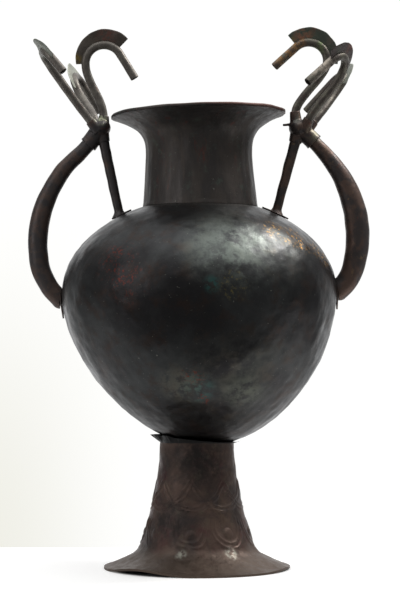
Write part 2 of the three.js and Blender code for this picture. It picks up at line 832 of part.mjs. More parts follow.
// Collar: a sleeve over the handle's end and a knuckle, with sockets for strut and crooks
function makeCollar(side) {
  const curve = handleCurve(side);
  const reach = collarLength / curve.getLength();
  const sleeve = rod(stationsOn(curve, 0, reach, 2, () => collarRadius), handleSides);
  const ball = new THREE.SphereGeometry(1, 8, 6);
  ball.rotateX(Math.PI / 2);
  ball.scale(knuckle.along, knuckle.across, knuckle.high);
  const hub = hubOf(side);
  ball.translate(hub.x, hub.y, hub.z);
  const [top] = strutStations(side);
  const socket = rod([
    { point: hub.clone(), tangent: top.tangent, radius: top.radius + socketWall },
    { point: hub.clone().addScaledVector(top.tangent, strutInset + socketDepth), tangent: top.tangent,
      radius: top.radius + socketWall },
  ], strutSides);
  let collar = sleeve.add(solidOf(ball)).add(socket);
  for (const crook of Object.values(side.crooks)) {
    const [base] = crookStations(side, crook);
    const foot = base.point.clone().addScaledVector(base.tangent, -socketRoot);
    const head = base.point.clone().addScaledVector(base.tangent, socketDepth);
    collar = collar.add(rod([
      { point: foot, tangent: base.tangent, radius: crookRadius + socketWall },
      { point: head, tangent: base.tangent, radius: crookRadius + socketWall },
    ], tubeSides));
  }
  if (side.sign > 0) {
    const start = hub.clone().add(new THREE.Vector3(-knuckle.along + 3, 0, 4));
    const tangent = new THREE.Vector3(-1, 0, -0.1).normalize();
    const end = start.clone().addScaledVector(tangent, spur.length);
    collar = collar.add(rod([
      { point: start, tangent, radius: spur.radius },
      { point: end, tangent, radius: spur.radius },
    ], 6));
  }
  collar = collar.subtract(rod(grown(handleStations(side)), handleSides));
  collar = collar.subtract(rod(grown(strutStations(side)), strutSides));
  for (const crook of Object.values(side.crooks)) {
    collar = collar.subtract(rod(grown(crookStations(side, crook)), tubeSides));
  }
  return collar;
}

const bronze = {
  belly: new THREE.MeshStandardMaterial({ color: 0x33332f, roughness: 0.5, metalness: 0.85 }),
  neck: new THREE.MeshStandardMaterial({ color: 0x352c27, roughness: 0.55, metalness: 0.85 }),
  foot: new THREE.MeshStandardMaterial({ color: 0x45332a, roughness: 0.6, metalness: 0.8 }),
  handle: new THREE.MeshStandardMaterial({ color: 0x3a2c26, roughness: 0.5, metalness: 0.85 }),
  crook: new THREE.MeshStandardMaterial({ color: 0x4f463c, roughness: 0.5, metalness: 0.8 }),
  crest: new THREE.MeshStandardMaterial({ color: 0x5a5446, roughness: 0.65, metalness: 0.7 }),
};

const urn = new THREE.Group();

function place(name, solid, material) {
  const mesh = new THREE.Mesh(geometryOf(solid), material);
  mesh.name = name;
  urn.add(mesh);
}

place("belly", makeBelly(), bronze.belly);
place("neck", makeNeck(), bronze.neck);
place("foot", makeFoot(), bronze.foot);
for (const [name, side] of Object.entries(sides)) {
  place(`${name}_handle`, makeHandle(side), bronze.handle);
  place(`${name}_collar`, makeCollar(side), bronze.handle);
  place(`${name}_strut`, makeStrut(side), bronze.handle);
  for (const [facing, crook] of Object.entries(side.crooks)) {
    place(`${name}_${facing}_hook`, makeCrook(side, crook), bronze.crook);
    place(`${name}_${facing}_crest`, makeCrest(side, crook), bronze.crest);
  }
}

export default urn;
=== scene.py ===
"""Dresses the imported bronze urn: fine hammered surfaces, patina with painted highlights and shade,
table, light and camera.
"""
import math

import bpy
import numpy as np
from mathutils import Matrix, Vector


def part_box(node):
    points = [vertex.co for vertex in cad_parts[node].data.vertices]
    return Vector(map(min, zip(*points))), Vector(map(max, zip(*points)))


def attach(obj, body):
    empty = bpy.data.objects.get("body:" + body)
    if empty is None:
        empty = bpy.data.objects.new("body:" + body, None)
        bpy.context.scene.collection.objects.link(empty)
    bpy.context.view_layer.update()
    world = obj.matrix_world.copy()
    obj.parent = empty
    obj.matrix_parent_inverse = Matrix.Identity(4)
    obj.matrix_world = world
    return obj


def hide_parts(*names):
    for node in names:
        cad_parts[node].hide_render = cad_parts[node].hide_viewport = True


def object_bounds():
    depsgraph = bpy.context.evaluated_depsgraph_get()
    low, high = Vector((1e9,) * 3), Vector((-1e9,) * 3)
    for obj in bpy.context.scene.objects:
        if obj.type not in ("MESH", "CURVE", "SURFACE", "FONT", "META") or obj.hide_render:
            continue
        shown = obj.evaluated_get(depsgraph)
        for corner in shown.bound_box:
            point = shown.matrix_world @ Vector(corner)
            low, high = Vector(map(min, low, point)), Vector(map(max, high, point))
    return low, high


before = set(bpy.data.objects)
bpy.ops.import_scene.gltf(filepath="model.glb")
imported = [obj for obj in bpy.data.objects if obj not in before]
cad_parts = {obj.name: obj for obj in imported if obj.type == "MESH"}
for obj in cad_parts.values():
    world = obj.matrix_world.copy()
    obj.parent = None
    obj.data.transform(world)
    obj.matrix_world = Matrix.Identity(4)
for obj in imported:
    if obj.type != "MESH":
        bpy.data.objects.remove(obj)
solids_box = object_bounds()

# Lengths below are millimetres, as on the solids. Meshes are written in metres.
MM = 0.001


def box_mm(node):
    """Lowest and highest corner of a solid in millimetres."""
    low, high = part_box(node)
    return np.array(low) / MM, np.array(high) / MM


# Places read off the solids
belly_low, belly_high = box_mm("belly")
neck_low, _ = box_mm("neck")
foot_low, foot_high = box_mm("foot")

BOX_MARGIN = 0.02
SHEET = 1.5
GAP = 0.3
BELLY_RADIUS = (belly_high[1] - belly_low[1]) / 2
BELLY_BOTTOM = belly_low[2]
BELLY_WIDEST = BELLY_BOTTOM + 153.5
SHOULDER_RISE = 94.0
LOWER_FULLNESS = 1.8
LOWER_TAPER = 0.56
LEAN_TO_FOOT = 6.5
LEAN_TO_NECK = 1.3

NECK_BASE = neck_low[2]
NECK_BASE_RADIUS = 57.5
NECK_WAIST_RADIUS = 53.5
NECK_WAIST_HEIGHT = 51.0
NECK_HEIGHT = 90.8
RIM_HEIGHT = NECK_BASE + NECK_HEIGHT
RIM_RADIUS = 87.7
RIM_FLARE = 3.3
RIM_BEAD = 1.7
RIM_TILT = math.radians(1.9)
NECK_LEAN = -1.9
SEAM_LAP = 0.45

FOOT_HEIGHT = 125.0
FOOT_SHIFT = (foot_high[0] + foot_low[0]) / 2
FOOT_TOP_RADIUS = 37.0
ANKLE_RADIUS = 58.5
ANKLE_HEIGHT = 18.0
BRIM_RADIUS = (foot_high[1] - foot_low[1]) / 2
BRIM_EDGE = 2.2
BRIM_FLAT = 3.0
STEM_FLARE = 1.75
BRIM_FLARE = 1.2

LEAF_THICKNESS = 1.6
HOOK_RADIUS = 4.35
HOOK_WALL = 0.9
BEND_RADIUS = 18.5
CREST_THICKNESS = 1.3
CREST_SWEEP = 136

# The two sides, as bent by age. Hub places are out from the axis and below the rim. A route's points
# are shares of the handle's drop and distances out from the straight line down to the belly's side.
# A hook's base and crown are out, along and up from its hub, and its bow and lean are directions. A
# crest is its edge's radius and how far forward of the bend's centre and above it its own lies.
SIDES = {
    "left": {
        "sign": -1,
        "hub": (98.5, 11.8),
        "attach": 146.0,
        "radii": (7.4, 10.0, 9.5),
        "route": [(0.1, 8.6), (0.253, 28.1), (0.439, 38.4), (0.625, 38.1), (0.811, 28.4),
                  (0.915, 16.3)],
        "strut": {"foot": 80.5, "top": 5.5, "bottom": 4.6, "leaf": (12, 7, 16)},
        "hooks": {
            "inner": {"base": (-3, 0, 8), "bow": (-0.05, 0, 1), "pull": 20,
                      "crown": (15.3, 0, 64.2), "lean": (0.03, 0, 1), "facing": 0, "sweep": 150,
                      "end": 29, "crest": (30.3, 1.8, 4.5)},
            "front": {"base": (7.5, -8, 3), "bow": (0.65, -0.2, 0.8), "pull": 20,
                      "crown": (51, -30, 62), "lean": (0.65, -0.8, 1), "facing": -80, "sweep": 135,
                      "end": 16, "crest": (30.3, 1.8, 4.3)},
            "back": {"base": (5.5, 8, 4), "bow": (0.1, 0.4, 0.8), "pull": 16,
                     "crown": (26, 40, 44), "lean": (0.45, 0.2, 1), "facing": 76, "sweep": 150,
                     "end": 30, "crest": (30.3, 1.8, 4.3)},
        },
    },
    "right": {
        "sign": 1,
        "hub": (100.0, 12.3),
        "attach": 155.0,
        "radii": (7.4, 12.2, 11.0),
        "route": [(0.09, 12.6), (0.265, 29.6), (0.463, 36.6), (0.66, 34), (0.858, 21.8), (0.945, 11.6)],
        "strut": {"foot": 75.5, "top": 5.6, "bottom": 4.5, "leaf": (14, 12, 18)},
        "hooks": {
            "inner": {"base": (-3.5, 0, 13), "bow": (-0.1, 0, 1), "pull": 16,
                      "crown": (28.3, 0, 65.8), "lean": (0.12, 0, 1), "facing": 0, "sweep": 139,
                      "end": 29.5, "crest": (30, 0.3, 4)},
            "front": {"base": (8, -8, 5), "bow": (0.4, -0.3, 0.8), "pull": 24,
                      "crown": (43, -30, 56), "lean": (0.35, -0.8, 1), "facing": -60, "sweep": 120,
                      "end": 34, "crest": (30.3, 1.8, 4.3)},
            "back": {"base": (13, 8, 5), "bow": (0.75, 0.35, 0.9), "pull": 20,
                     "crown": (45, 40, 49), "lean": (0.65, 0.4, 1), "facing": 70, "sweep": 145,
                     "end": 38, "crest": (30.3, 1.8, 4.3)},
        },
    },
}
LEAF_BELOW = 18.0
LEAF_ABOVE = 13.0
LEAF_WIDTH = 26.0
HANDLE_INSET = 10.0
HANDLE_END = 8.5
HANDLE_SEAM = 0.87
STRUT_FLARE = 3.4
SWELL_START = 0.08
SWELL_AT = 0.62
SLEEVE_LENGTH = 22.0
SLEEVE_RADIUS = 9.0
KNUCKLE_RADII = (10.0, 12.5, 9.2)
SPUR_START = (-7.5, 0, 4.0)
SPUR_LENGTH = 8.6


# Arithmetic shared by the pieces

def smoothstep(value):
    """0 below 0, 1 above 1, and 3t^2 - 2t^3 between."""
    share = np.clip(value, 0, 1)
    return share * share * (3 - 2 * share)


def ripple(points, wavelength, seed):
    """A smooth uneven field of about -1 to 1: the sum of twelve sine waves that cross the space in
    seeded directions, with lengths near the given one."""
    waves = np.random.default_rng(seed)
    total = np.zeros(points.shape[:-1])
    for _ in range(12):
        direction = waves.normal(size=3)
        direction /= np.linalg.norm(direction)
        number = 2 * math.pi / (wavelength * waves.uniform(0.7, 1.5))
        total += np.sin(points @ direction * number + waves.uniform(0, 2 * math.pi))
    return total / math.sqrt(12)


def dent(points, centre, radius):
    """1 at a centre and fading with distance as exp(-(distance / radius)^2)."""
    squared = np.sum((points - np.array(centre)) ** 2, axis=-1)
    return np.exp(-squared / radius ** 2)


def unit(vectors):
    return vectors / np.linalg.norm(vectors, axis=-1, keepdims=True)


SLOPE_STEP = 0.02


def profile_normal(radius_at, height):
    """Outward normal of a turned profile as (across, up), from its slope over a small step."""
    run = radius_at(height + SLOPE_STEP) - radius_at(height - SLOPE_STEP)
    return unit(np.stack([np.full_like(height, 2 * SLOPE_STEP), -run], axis=-1))


# Mesh building

def grid_faces(rows, columns, wrap_rows):
    """Four-cornered faces of a grid whose columns close on themselves, and its rows too if asked."""
    last = rows if wrap_rows else rows - 1
    row, column = np.meshgrid(np.arange(last), np.arange(columns), indexing="ij")
    up = (row + 1) % rows
    right = (column + 1) % columns
    below, above = row * columns, up * columns
    corners = [below + column, below + right, above + right, above + column]
    return np.stack(corners, axis=-1).reshape(-1, 4)


def fan_faces(ring_start, columns, pole, flip):
    """Triangles from a pole to a ring of the grid."""
    column = np.arange(columns)
    right = (column + 1) % columns
    faces = np.stack([np.full(columns, pole), ring_start + right, ring_start + column], axis=-1)
    return faces[:, ::-1] if flip else faces


def tube_mesh(grid, first_pole=None, last_pole=None):
    """Points and faces of a grid (rows, columns, 3) closed at its ends by two poles, or on itself."""
    rows, columns, _ = grid.shape
    points = grid.reshape(-1, 3)
    if first_pole is None:
        return points, grid_faces(rows, columns, True), np.zeros((0, 3), int)
    poles = np.array([first_pole, last_pole], float)
    count = len(points)
    triangles = np.concatenate([
        fan_faces(0, columns, count, False),
        fan_faces((rows - 1) * columns, columns, count + 1, True),
    ])
    return np.concatenate([points, poles]), grid_faces(rows, columns, False), triangles


def joined(parts):
    """Several meshes of points, quads and triangles as one."""
    points, quads, triangles, offset = [], [], [], 0
    for some_points, some_quads, some_triangles in parts:
        points.append(some_points)
        quads.append(some_quads + offset)
        triangles.append(some_triangles + offset)
        offset += len(some_points)
    return np.concatenate(points), np.concatenate(quads), np.concatenate(triangles)


def signed_volume(points, quads, triangles):
    """Six times the volume that the faces enclose, below zero where they point inwards."""
    faces = np.concatenate([triangles, quads[:, [0, 1, 2]], quads[:, [0, 2, 3]]])
    a, b, c = points[faces[:, 0]], points[faces[:, 1]], points[faces[:, 2]]
    return np.sum(a * np.cross(b, c))


def outward(part):
    """The same mesh with its faces pointing out."""
    points, quads, triangles = part
    if signed_volume(points, quads, triangles) < 0:
        return points, quads[:, ::-1], triangles[:, ::-1]
    return part


def blender_mesh(name, part):
    points, quads, triangles = part
    mesh = bpy.data.meshes.new(name)
    mesh.vertices.add(len(points))
    mesh.vertices.foreach_set("co", (points * MM).astype(np.float32).ravel())
    corners = np.concatenate([quads.ravel(), triangles.ravel()]).astype(np.int32)
    sizes = np.concatenate([np.full(len(quads), 4), np.full(len(triangles), 3)]).astype(np.int32)
    mesh.loops.add(len(corners))
    mesh.loops.foreach_set("vertex_index", corners)
    mesh.polygons.add(len(sizes))
    mesh.polygons.foreach_set("loop_start", (np.cumsum(sizes) - sizes).astype(np.int32))
    mesh.polygons.foreach_set("loop_total", sizes)
    mesh.update(calc_edges=True)
    mesh.validate()
    return mesh


def new_object(name, data):
    """An object in the scene that holds a mesh, a light or a camera."""
    made = bpy.data.objects.new(name, data)
    bpy.context.scene.collection.objects.link(made)
    return made


def place_piece(name, mesh, node, material):
    """Puts a smooth-shaded piece in the scene in place of its solid."""
    mesh.polygons.foreach_set("use_smooth", np.ones(len(mesh.polygons), bool))
    mesh.materials.clear()
    mesh.materials.append(material)
    piece = new_object(name, mesh)
    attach(piece, "root")
    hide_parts(node)


def add_piece(name, part, node, material, sharp_degrees=40):
    """Makes a piece from its part, held just inside the box of all solids."""
    points, quads, triangles = outward(part)
    low, high = np.array(solids_box) / MM
    mesh = blender_mesh(name, (np.clip(points, low + BOX_MARGIN, high - BOX_MARGIN), quads, triangles))
    mesh.set_sharp_from_angle(angle=math.radians(sharp_degrees))
    place_piece(name, mesh, node, material)


# Belly

def belly_radius_at(height):
    """Above the widest ring an ellipse, below it widest times (1 - drop^fullness)^taper."""
    rise = np.clip((height - BELLY_WIDEST) / SHOULDER_RISE, 0, 1)
    drop = np.clip((BELLY_WIDEST - height) / (BELLY_WIDEST - BELLY_BOTTOM), 0, 1)
    upper = BELLY_RADIUS * np.sqrt(1 - rise ** 2)
    lower = BELLY_RADIUS * (1 - drop ** LOWER_FULLNESS) ** LOWER_TAPER
    return np.where(height >= BELLY_WIDEST, upper, lower)


def shoulder_height(radius):
    return BELLY_WIDEST + SHOULDER_RISE * np.sqrt(1 - (radius / BELLY_RADIUS) ** 2)


def belly_lean(height):
    """Sideways run of the belly's axis, growing towards the foot and a little towards the neck."""
    up = smoothstep((height - BELLY_WIDEST) / SHOULDER_RISE)
    down = smoothstep((BELLY_WIDEST - height) / (BELLY_WIDEST - BELLY_BOTTOM))
    return LEAN_TO_NECK * up + LEAN_TO_FOOT * down


def belly_normal(height):
    normal = profile_normal(belly_radius_at, height)
    normal[height - SLOPE_STEP <= BELLY_BOTTOM] = (0, -1)
    return normal


def belly_heights(lower_rows, upper_rows, last_radius):
    """Heights along the profile, close together where it turns fast: from the bottom they follow
    1 - share^2, and over the shoulder the ellipse's angle."""
    share = np.arange(1, lower_rows + 1) / lower_rows
    lower = BELLY_WIDEST - (BELLY_WIDEST - BELLY_BOTTOM) * (1 - share ** 2)
    last_angle = math.acos(last_radius / BELLY_RADIUS)
    angle = last_angle * np.arange(1, upper_rows + 1) / upper_rows
    return np.concatenate([lower, BELLY_WIDEST + SHOULDER_RISE * np.sin(angle)])


def turned_grid(radius, height, columns):
    """Points of a turned surface: each profile point goes round once, from the front towards +X."""
    angle = 2 * math.pi * np.arange(columns) / columns
    radius = np.broadcast_to(radius.reshape(len(height), -1), (len(height), columns))
    rise = np.broadcast_to(height[:, None], radius.shape)
    return np.stack([radius * np.sin(angle), -radius * np.cos(angle), rise], axis=-1)


HAMMERED = 0.34
# Place, reach and depth
BELLY_DENTS = [
    ((-134, -30, 262), 26, 0.9),
    ((-128, -45, 224), 22, 0.8),
    ((132, -38, 236), 24, 0.9),
    ((60, -116, 318), 26, 0.8),
    ((-40, -130, 300), 30, 0.7),
    ((20, -112, 205), 34, 1.0),
    ((-70, -60, 330), 24, 0.9),
    ((95, 70, 315), 28, 0.8),
    ((-60, 118, 260), 36, 1.0),
    ((40, 108, 190), 30, 0.9),
    ((118, 60, 235), 30, 0.8),
]


def make_belly(material):
    columns = 300
    inner_wall = SHEET + 1.0
    seam_top = NECK_BASE + 6.0
    seam_radius = neck_radius_at(np.array(seam_top)) - SHEET - GAP
    heights = belly_heights(110, 60, float(seam_radius))
    radius = belly_radius_at(heights)
    normal = belly_normal(heights)
    grid = turned_grid(radius, heights, columns)
    sunk = HAMMERED * (1 + 0.6 * ripple(grid, 26, 3) + 0.4 * ripple(grid, 11, 4))
    sunk += 0.7 * (1 + ripple(grid, 90, 5)) * 0.5
    for centre, reach, depth in BELLY_DENTS:
        sunk += depth * dent(grid, centre, reach)
    ring = np.sin(np.linspace(0, math.pi, len(heights)))[:, None] ** 0.3
    at_neck = smoothstep((heights - NECK_BASE + 7) / 6)
    sunk = np.maximum(sunk, 0.05) * ring * (1 - 0.9 * at_neck)[:, None]
    outer = turned_grid(radius[:, None] - sunk * normal[:, :1], heights, columns)
    outer[..., 2] -= sunk * normal[:, 1:]
    inside_heights = belly_heights(34, 18, float(seam_radius) - SHEET)
    inside_normal = belly_normal(inside_heights)
    inside_radius = belly_radius_at(inside_heights) - inner_wall * inside_normal[:, 0]
    inside_rise = inside_heights - inner_wall * inside_normal[:, 1]
    inner = turned_grid(inside_radius, inside_rise, columns)
    collar_radius = np.array([seam_radius, seam_radius, seam_radius - SHEET, seam_radius - SHEET])
    collar_rise = np.array([seam_top - 4, seam_top, seam_top, inside_rise[-1] + 1.0])
    collar = turned_grid(collar_radius, collar_rise, columns)
    grid = np.concatenate([outer, collar, inner[::-1]])
    grid[..., 0] += belly_lean(grid[..., 2])
    bottom = belly_lean(np.array(BELLY_BOTTOM))
    part = tube_mesh(grid, (bottom, 0, BELLY_BOTTOM), (bottom, 0, BELLY_BOTTOM + inner_wall))
    add_piece("belly_skin", part, "belly", material)


# Neck

def neck_radius_at(height):
    """The radius shrinks as a power up to the waist, and from there it flares to the rim."""
    waist = NECK_BASE + NECK_WAIST_HEIGHT
    low = np.clip((waist - height) / NECK_WAIST_HEIGHT, 0, None)
    high = np.clip((height - waist) / (RIM_HEIGHT - waist), 0, None)
    narrowing = (NECK_BASE_RADIUS - NECK_WAIST_RADIUS) * low ** 1.2
    return NECK_WAIST_RADIUS + narrowing + (RIM_RADIUS - NECK_WAIST_RADIUS) * high ** RIM_FLARE


def make_neck(material):
    columns = 288
    waist = NECK_BASE + NECK_WAIST_HEIGHT
    straight = np.linspace(NECK_BASE, waist, 60, endpoint=False)
    share = np.linspace(0, 1, 90)
    flare = waist + (RIM_HEIGHT - waist) * (1 - (1 - share) ** 1.6)
    heights = np.concatenate([straight, flare])
    normal = profile_normal(neck_radius_at, heights)
    radius = neck_radius_at(heights)
    inner_radius = (radius - SHEET * normal[:, 0])[::2]
    inner_rise = (heights - SHEET * normal[:, 1])[::2]
    angle = np.radians(np.linspace(-60, 190, 14))
    bead_radius = RIM_RADIUS - RIM_BEAD + RIM_BEAD * np.cos(angle)
    bead_rise = RIM_HEIGHT + RIM_BEAD + RIM_BEAD * np.sin(angle)
    profile_radius = np.concatenate([radius[:-1], bead_radius, inner_radius[::-1][1:]])
    profile_rise = np.concatenate([heights[:-1], bead_rise, inner_rise[::-1][1:]])
    grid = turned_grid(profile_radius, profile_rise, columns)
    sunk = 0.25 * (1 + ripple(grid * (1, 1, 0.35), 16, 11)) + 0.35 * (1 + ripple(grid, 60, 12)) * 0.5
    rise = grid[..., 2]
    fade = smoothstep((rise - NECK_BASE) / 4)
    grid[..., :2] -= unit(grid[..., :2]) * (sunk * fade)[..., None]
    rise -= SEAM_LAP * (1 - smoothstep((rise - NECK_BASE) / 2))
    lip = smoothstep((rise - RIM_HEIGHT + 6) / 6)
    rise += lip * (0.25 * ripple(grid * (1, 1, 0), 40, 13) - 0.3)
    rise += math.tan(RIM_TILT) * grid[..., 0] * smoothstep((rise - waist) / (RIM_HEIGHT - waist))
    grid[..., 0] += LEAN_TO_NECK + NECK_LEAN * np.clip((rise - NECK_BASE) / NECK_HEIGHT, 0, None)
    add_piece("neck_sheet", tube_mesh(grid), "neck", material)


# Foot

def stem_radius_at(height):
    """Radius of the foot's stem: it flares downwards as a power of the drop from its top."""
    share = np.clip((FOOT_HEIGHT - height) / (FOOT_HEIGHT - ANKLE_HEIGHT), 0, None)
    return FOOT_TOP_RADIUS + (ANKLE_RADIUS - FOOT_TOP_RADIUS) * share ** STEM_FLARE


def brim_height_at(radius):
    share = np.clip((BRIM_RADIUS - radius) / (BRIM_RADIUS - ANKLE_RADIUS), 0, 1)
    return BRIM_EDGE + (ANKLE_HEIGHT - BRIM_EDGE) * share ** BRIM_FLARE


def turn_from(azimuth, middle):
    """Degrees from a middle, between -180 and 180."""
    return (azimuth - middle + 180) % 360 - 180


PATTERN_PITCH = 45.0
PATTERN_START = -8.0
PATTERN_BOTTOM = 12.0
PATTERN_TOP = 92.0
PATTERN_WEAR = 0.85
LINE = 0.95
LINE_SPACING = 4.3
FESTOON_LOW = 59.5
FESTOON_RISE = 25.0
FESTOON_POWER = 2.4
FESTOON_RUN = 35.0
PETAL_SHOULDER = 47.5
PETAL_TOP = 54.0
PETAL_STEM_RADIUS = 53.0
PETAL_LINES = [(18.5, 25.0, 1.0), (14.0, 19.5, 0.9)]
BOSS_HEIGHT = 37.0
BOSS_RADIUS = 4.9
STUD_HEIGHT = 19.0
STUD_RADIUS = 6.5
BOSS_RISE = 1.9
# Middle and spread in degrees, and lift or reach
BRIM_BENDS = [(-38, 34, 4.5), (72, 26, 1.6)]
LIP_GAP = 1.7
LIP_RISE = 7.4
LIP_TABS = [(-90, 26, 9.5), (-48, 14, 6), (84, 13, 7.5), (62, 9, 4), (140, 22, 6.5), (-150, 20, 8)]


def line_at(distance, width):
    """Height of a raised line at a distance from its middle: exp(-(distance / width)^2)."""
    return np.exp(-(distance / width) ** 2)


def festoons(azimuth, height):
    """Two rows of arcs, each two pitches wide, so that neighbours cross. An arc rises from its middle
    as a power of the way across, and a second line runs beside it at an even distance."""
    raised = np.zeros_like(azimuth)
    for shift in (0, 1):
        middle = PATTERN_START + PATTERN_PITCH * shift
        across = np.abs(((azimuth - middle) / PATTERN_PITCH + 1) % 2 - 1)
        arc = FESTOON_LOW + FESTOON_RISE * across ** FESTOON_POWER
        slope = FESTOON_POWER * FESTOON_RISE * across ** (FESTOON_POWER - 1) / FESTOON_RUN
        distance = (height - arc) / np.sqrt(1 + slope ** 2)
        raised = np.maximum(raised, line_at(distance, LINE))
        raised = np.maximum(raised, 0.9 * line_at(distance - LINE_SPACING, LINE))
    return raised


def petals(azimuth, height):
    """A row of petals, each an ellipse's lower half in two lines, with a boss in it and a stud below."""
    across = turn_from(azimuth, PATTERN_START) % PATTERN_PITCH
    across = (across + PATTERN_PITCH / 2) % PATTERN_PITCH - PATTERN_PITCH / 2
    sideways = np.radians(across) * PETAL_STEM_RADIUS
    below = np.minimum(height - PETAL_SHOULDER, 0)
    raised = np.zeros_like(azimuth)
    for half_width, depth, weight in PETAL_LINES:
        reach = np.sqrt((sideways / half_width) ** 2 + (below / depth) ** 2)
        arm = line_at((reach - 1) * half_width, LINE) * smoothstep((PETAL_TOP - height) / 8)
        raised = np.maximum(raised, weight * arm)
    boss = np.hypot(sideways, height - BOSS_HEIGHT) / BOSS_RADIUS
    raised = np.maximum(raised, BOSS_RISE * np.clip(1 - boss ** 2, 0, 1) ** 0.7)
    stud = np.hypot(sideways, (height - STUD_HEIGHT) * 0.8) / STUD_RADIUS
    return np.maximum(raised, BOSS_RISE * np.clip(1 - stud, 0, 1))


def foot_relief(azimuth, height):
    """Raised work on the stem, fading out above and below its two rows. Its lines wander and are worn
    unevenly, after two fields over the unrolled stem."""
    unrolled = np.stack([azimuth * 0.8, height, np.zeros_like(height)], axis=-1)
    azimuth = azimuth + 1.6 * ripple(unrolled, 30, 24)
    height = height + 1.1 * ripple(unrolled, 26, 25)
    rows = np.maximum(festoons(azimuth, height), petals(azimuth, height))
    band = smoothstep((height - PATTERN_BOTTOM) / 4) * smoothstep((PATTERN_TOP - height) / 6)
    worn = np.clip(0.85 + 0.35 * ripple(unrolled, 34, 26), 0.3, 1.3)
    return rows * band * worn


def bend_brim(grid):
    """Lifts the brim's bent stretches."""
    azimuth = np.degrees(np.arctan2(grid[..., 0], -grid[..., 1]))
    radius = np.hypot(grid[..., 0], grid[..., 1])
    low = grid[..., 2] < ANKLE_HEIGHT + SHEET
    outwards = np.clip((radius - ANKLE_RADIUS) / (BRIM_RADIUS - ANKLE_RADIUS), 0, 1) ** 1.5
    for middle, spread, rise in BRIM_BENDS:
        share = smoothstep(1 - np.abs(turn_from(azimuth, middle)) / spread)
        grid[..., 2] += np.where(low, rise * share * outwards, 0)


def eased(values):
    """The running mean, which rounds the turn from brim to stem, with both ends as they were."""
    reach = 8
    kernel = np.ones(2 * reach + 1) / (2 * reach + 1)
    return np.concatenate([values[:reach], np.convolve(values, kernel, "valid"), values[-reach:]])


def make_foot(material):
    columns = 420
    stem_heights = np.linspace(ANKLE_HEIGHT, FOOT_HEIGHT, 150)
    brim_radius = np.linspace(BRIM_RADIUS, ANKLE_RADIUS, 34, endpoint=False)
    outer_radius = eased(np.concatenate([brim_radius, stem_radius_at(stem_heights)]))
    outer_height = eased(np.concatenate([brim_height_at(brim_radius), stem_heights]))
    normal = unit(np.stack([np.gradient(outer_height), -np.gradient(outer_radius)], axis=-1))
    outer = turned_grid(outer_radius, outer_height, columns)
    azimuth = np.degrees(np.arctan2(outer[..., 0], -outer[..., 1]))
    raised = PATTERN_WEAR * foot_relief(azimuth, outer[..., 2])
    raised -= 0.22 * (1 + ripple(outer, 22, 21)) + 0.06 * (1 + ripple(outer, 8, 22))
    raised *= smoothstep((outer_radius[:, None] - BRIM_RADIUS) / -6) * 0.9 + 0.1
    around = unit(outer[..., :2])
    outer[..., :2] += around * (raised * normal[:, :1])[..., None]
    outer[..., 2] += raised * normal[:, 1:]
    flat_edge = np.array([BRIM_RADIUS - BRIM_FLAT, BRIM_RADIUS])
    inner_radius = (outer_radius - SHEET * normal[:, 0])[::5]
    inner_height = (outer_height - SHEET * normal[:, 1])[::5]
    keep = inner_radius < flat_edge[0]
    inner = turned_grid(inner_radius[keep], inner_height[keep], columns)
    edge = turned_grid(flat_edge, np.zeros(2), columns)
    grid = np.concatenate([edge, outer, torn_lip(columns), inner[::-1]])
    bend_brim(grid)
    grid[..., 0] += FOOT_SHIFT
    add_piece("foot_sheet", tube_mesh(grid), "foot", material, 55)


def torn_lip(columns):
    """The lip round the foot's top, splayed out and up to the belly's skin and torn into tabs: its
    reach is the largest tab's at each azimuth, with a jagged edge of crossed sines."""
    angle = 2 * math.pi * np.arange(columns) / columns
    azimuth = np.degrees(angle)
    reach = np.full(columns, 2.0)
    for middle, spread, most in LIP_TABS:
        share = np.clip(1 - np.abs(turn_from(azimuth, middle)) / spread, 0, 1)
        reach = np.maximum(reach, most * np.sqrt(share))
    jagged = 0.5 * np.sin(angle * 23) + 0.4 * np.sin(angle * 41 + 1) + 0.3 * np.sin(angle * 67 + 2)
    reach = np.maximum(reach + jagged * smoothstep(reach / 4), 1.0)
    over = [lip_row(angle, reach, share, 0) for share in np.linspace(0.15, 1, 7)]
    under = [lip_row(angle, reach, share, SHEET * (1 - 0.4 * share)) for share in np.linspace(1, 0.15, 4)]
    return np.stack(over + under)


def lip_row(angle, reach, share, inset):
    """One row of the lip at a share of its reach. It follows the belly's skin from below."""
    radius = FOOT_TOP_RADIUS - inset + reach * share
    across = radius * np.sin(angle) + FOOT_SHIFT
    along = -radius * np.cos(angle)
    off_axis = np.hypot(across - LEAN_TO_FOOT, along)
    probe = BELLY_BOTTOM + np.linspace(0, 40, 200)
    skin = np.interp(off_axis, belly_radius_at(probe), probe)
    rise = FOOT_HEIGHT + (LIP_RISE - 0.4 * inset) * share
    rise = np.minimum(rise + 0.4 * inset, skin - LIP_GAP)
    return np.stack([across - FOOT_SHIFT, along, rise], axis=-1)


# Tubes

def tube_grid(path, radius, sides, reference=(0.0, 1.0, 0.0)):
    """Points round a path: a circle of the given radius in the plane square to it, counted from a
    reference that the path never follows."""
    reference = np.array(reference)
    tangent = unit(np.gradient(path, axis=0))
    across = unit(reference - tangent * (tangent @ reference)[:, None])
    other = np.cross(tangent, across)
    angle = 2 * math.pi * np.arange(sides) / sides
    spread = across[:, None] * np.cos(angle)[:, None] + other[:, None] * np.sin(angle)[:, None]
    radius = np.broadcast_to(np.asarray(radius, float).reshape(len(path), -1), (len(path), sides))
    return path[:, None] + spread * radius[..., None]


def rod(path, radius, sides, reference=(0.0, 1.0, 0.0)):
    """A tube closed at both ends."""
    return outward(tube_mesh(tube_grid(path, radius, sides, reference), path[0], path[-1]))


def capped(grid):
    """A grid closed at the middles of its first and last rows."""
    return outward(tube_mesh(grid, grid[0].mean(axis=0), grid[-1].mean(axis=0)))


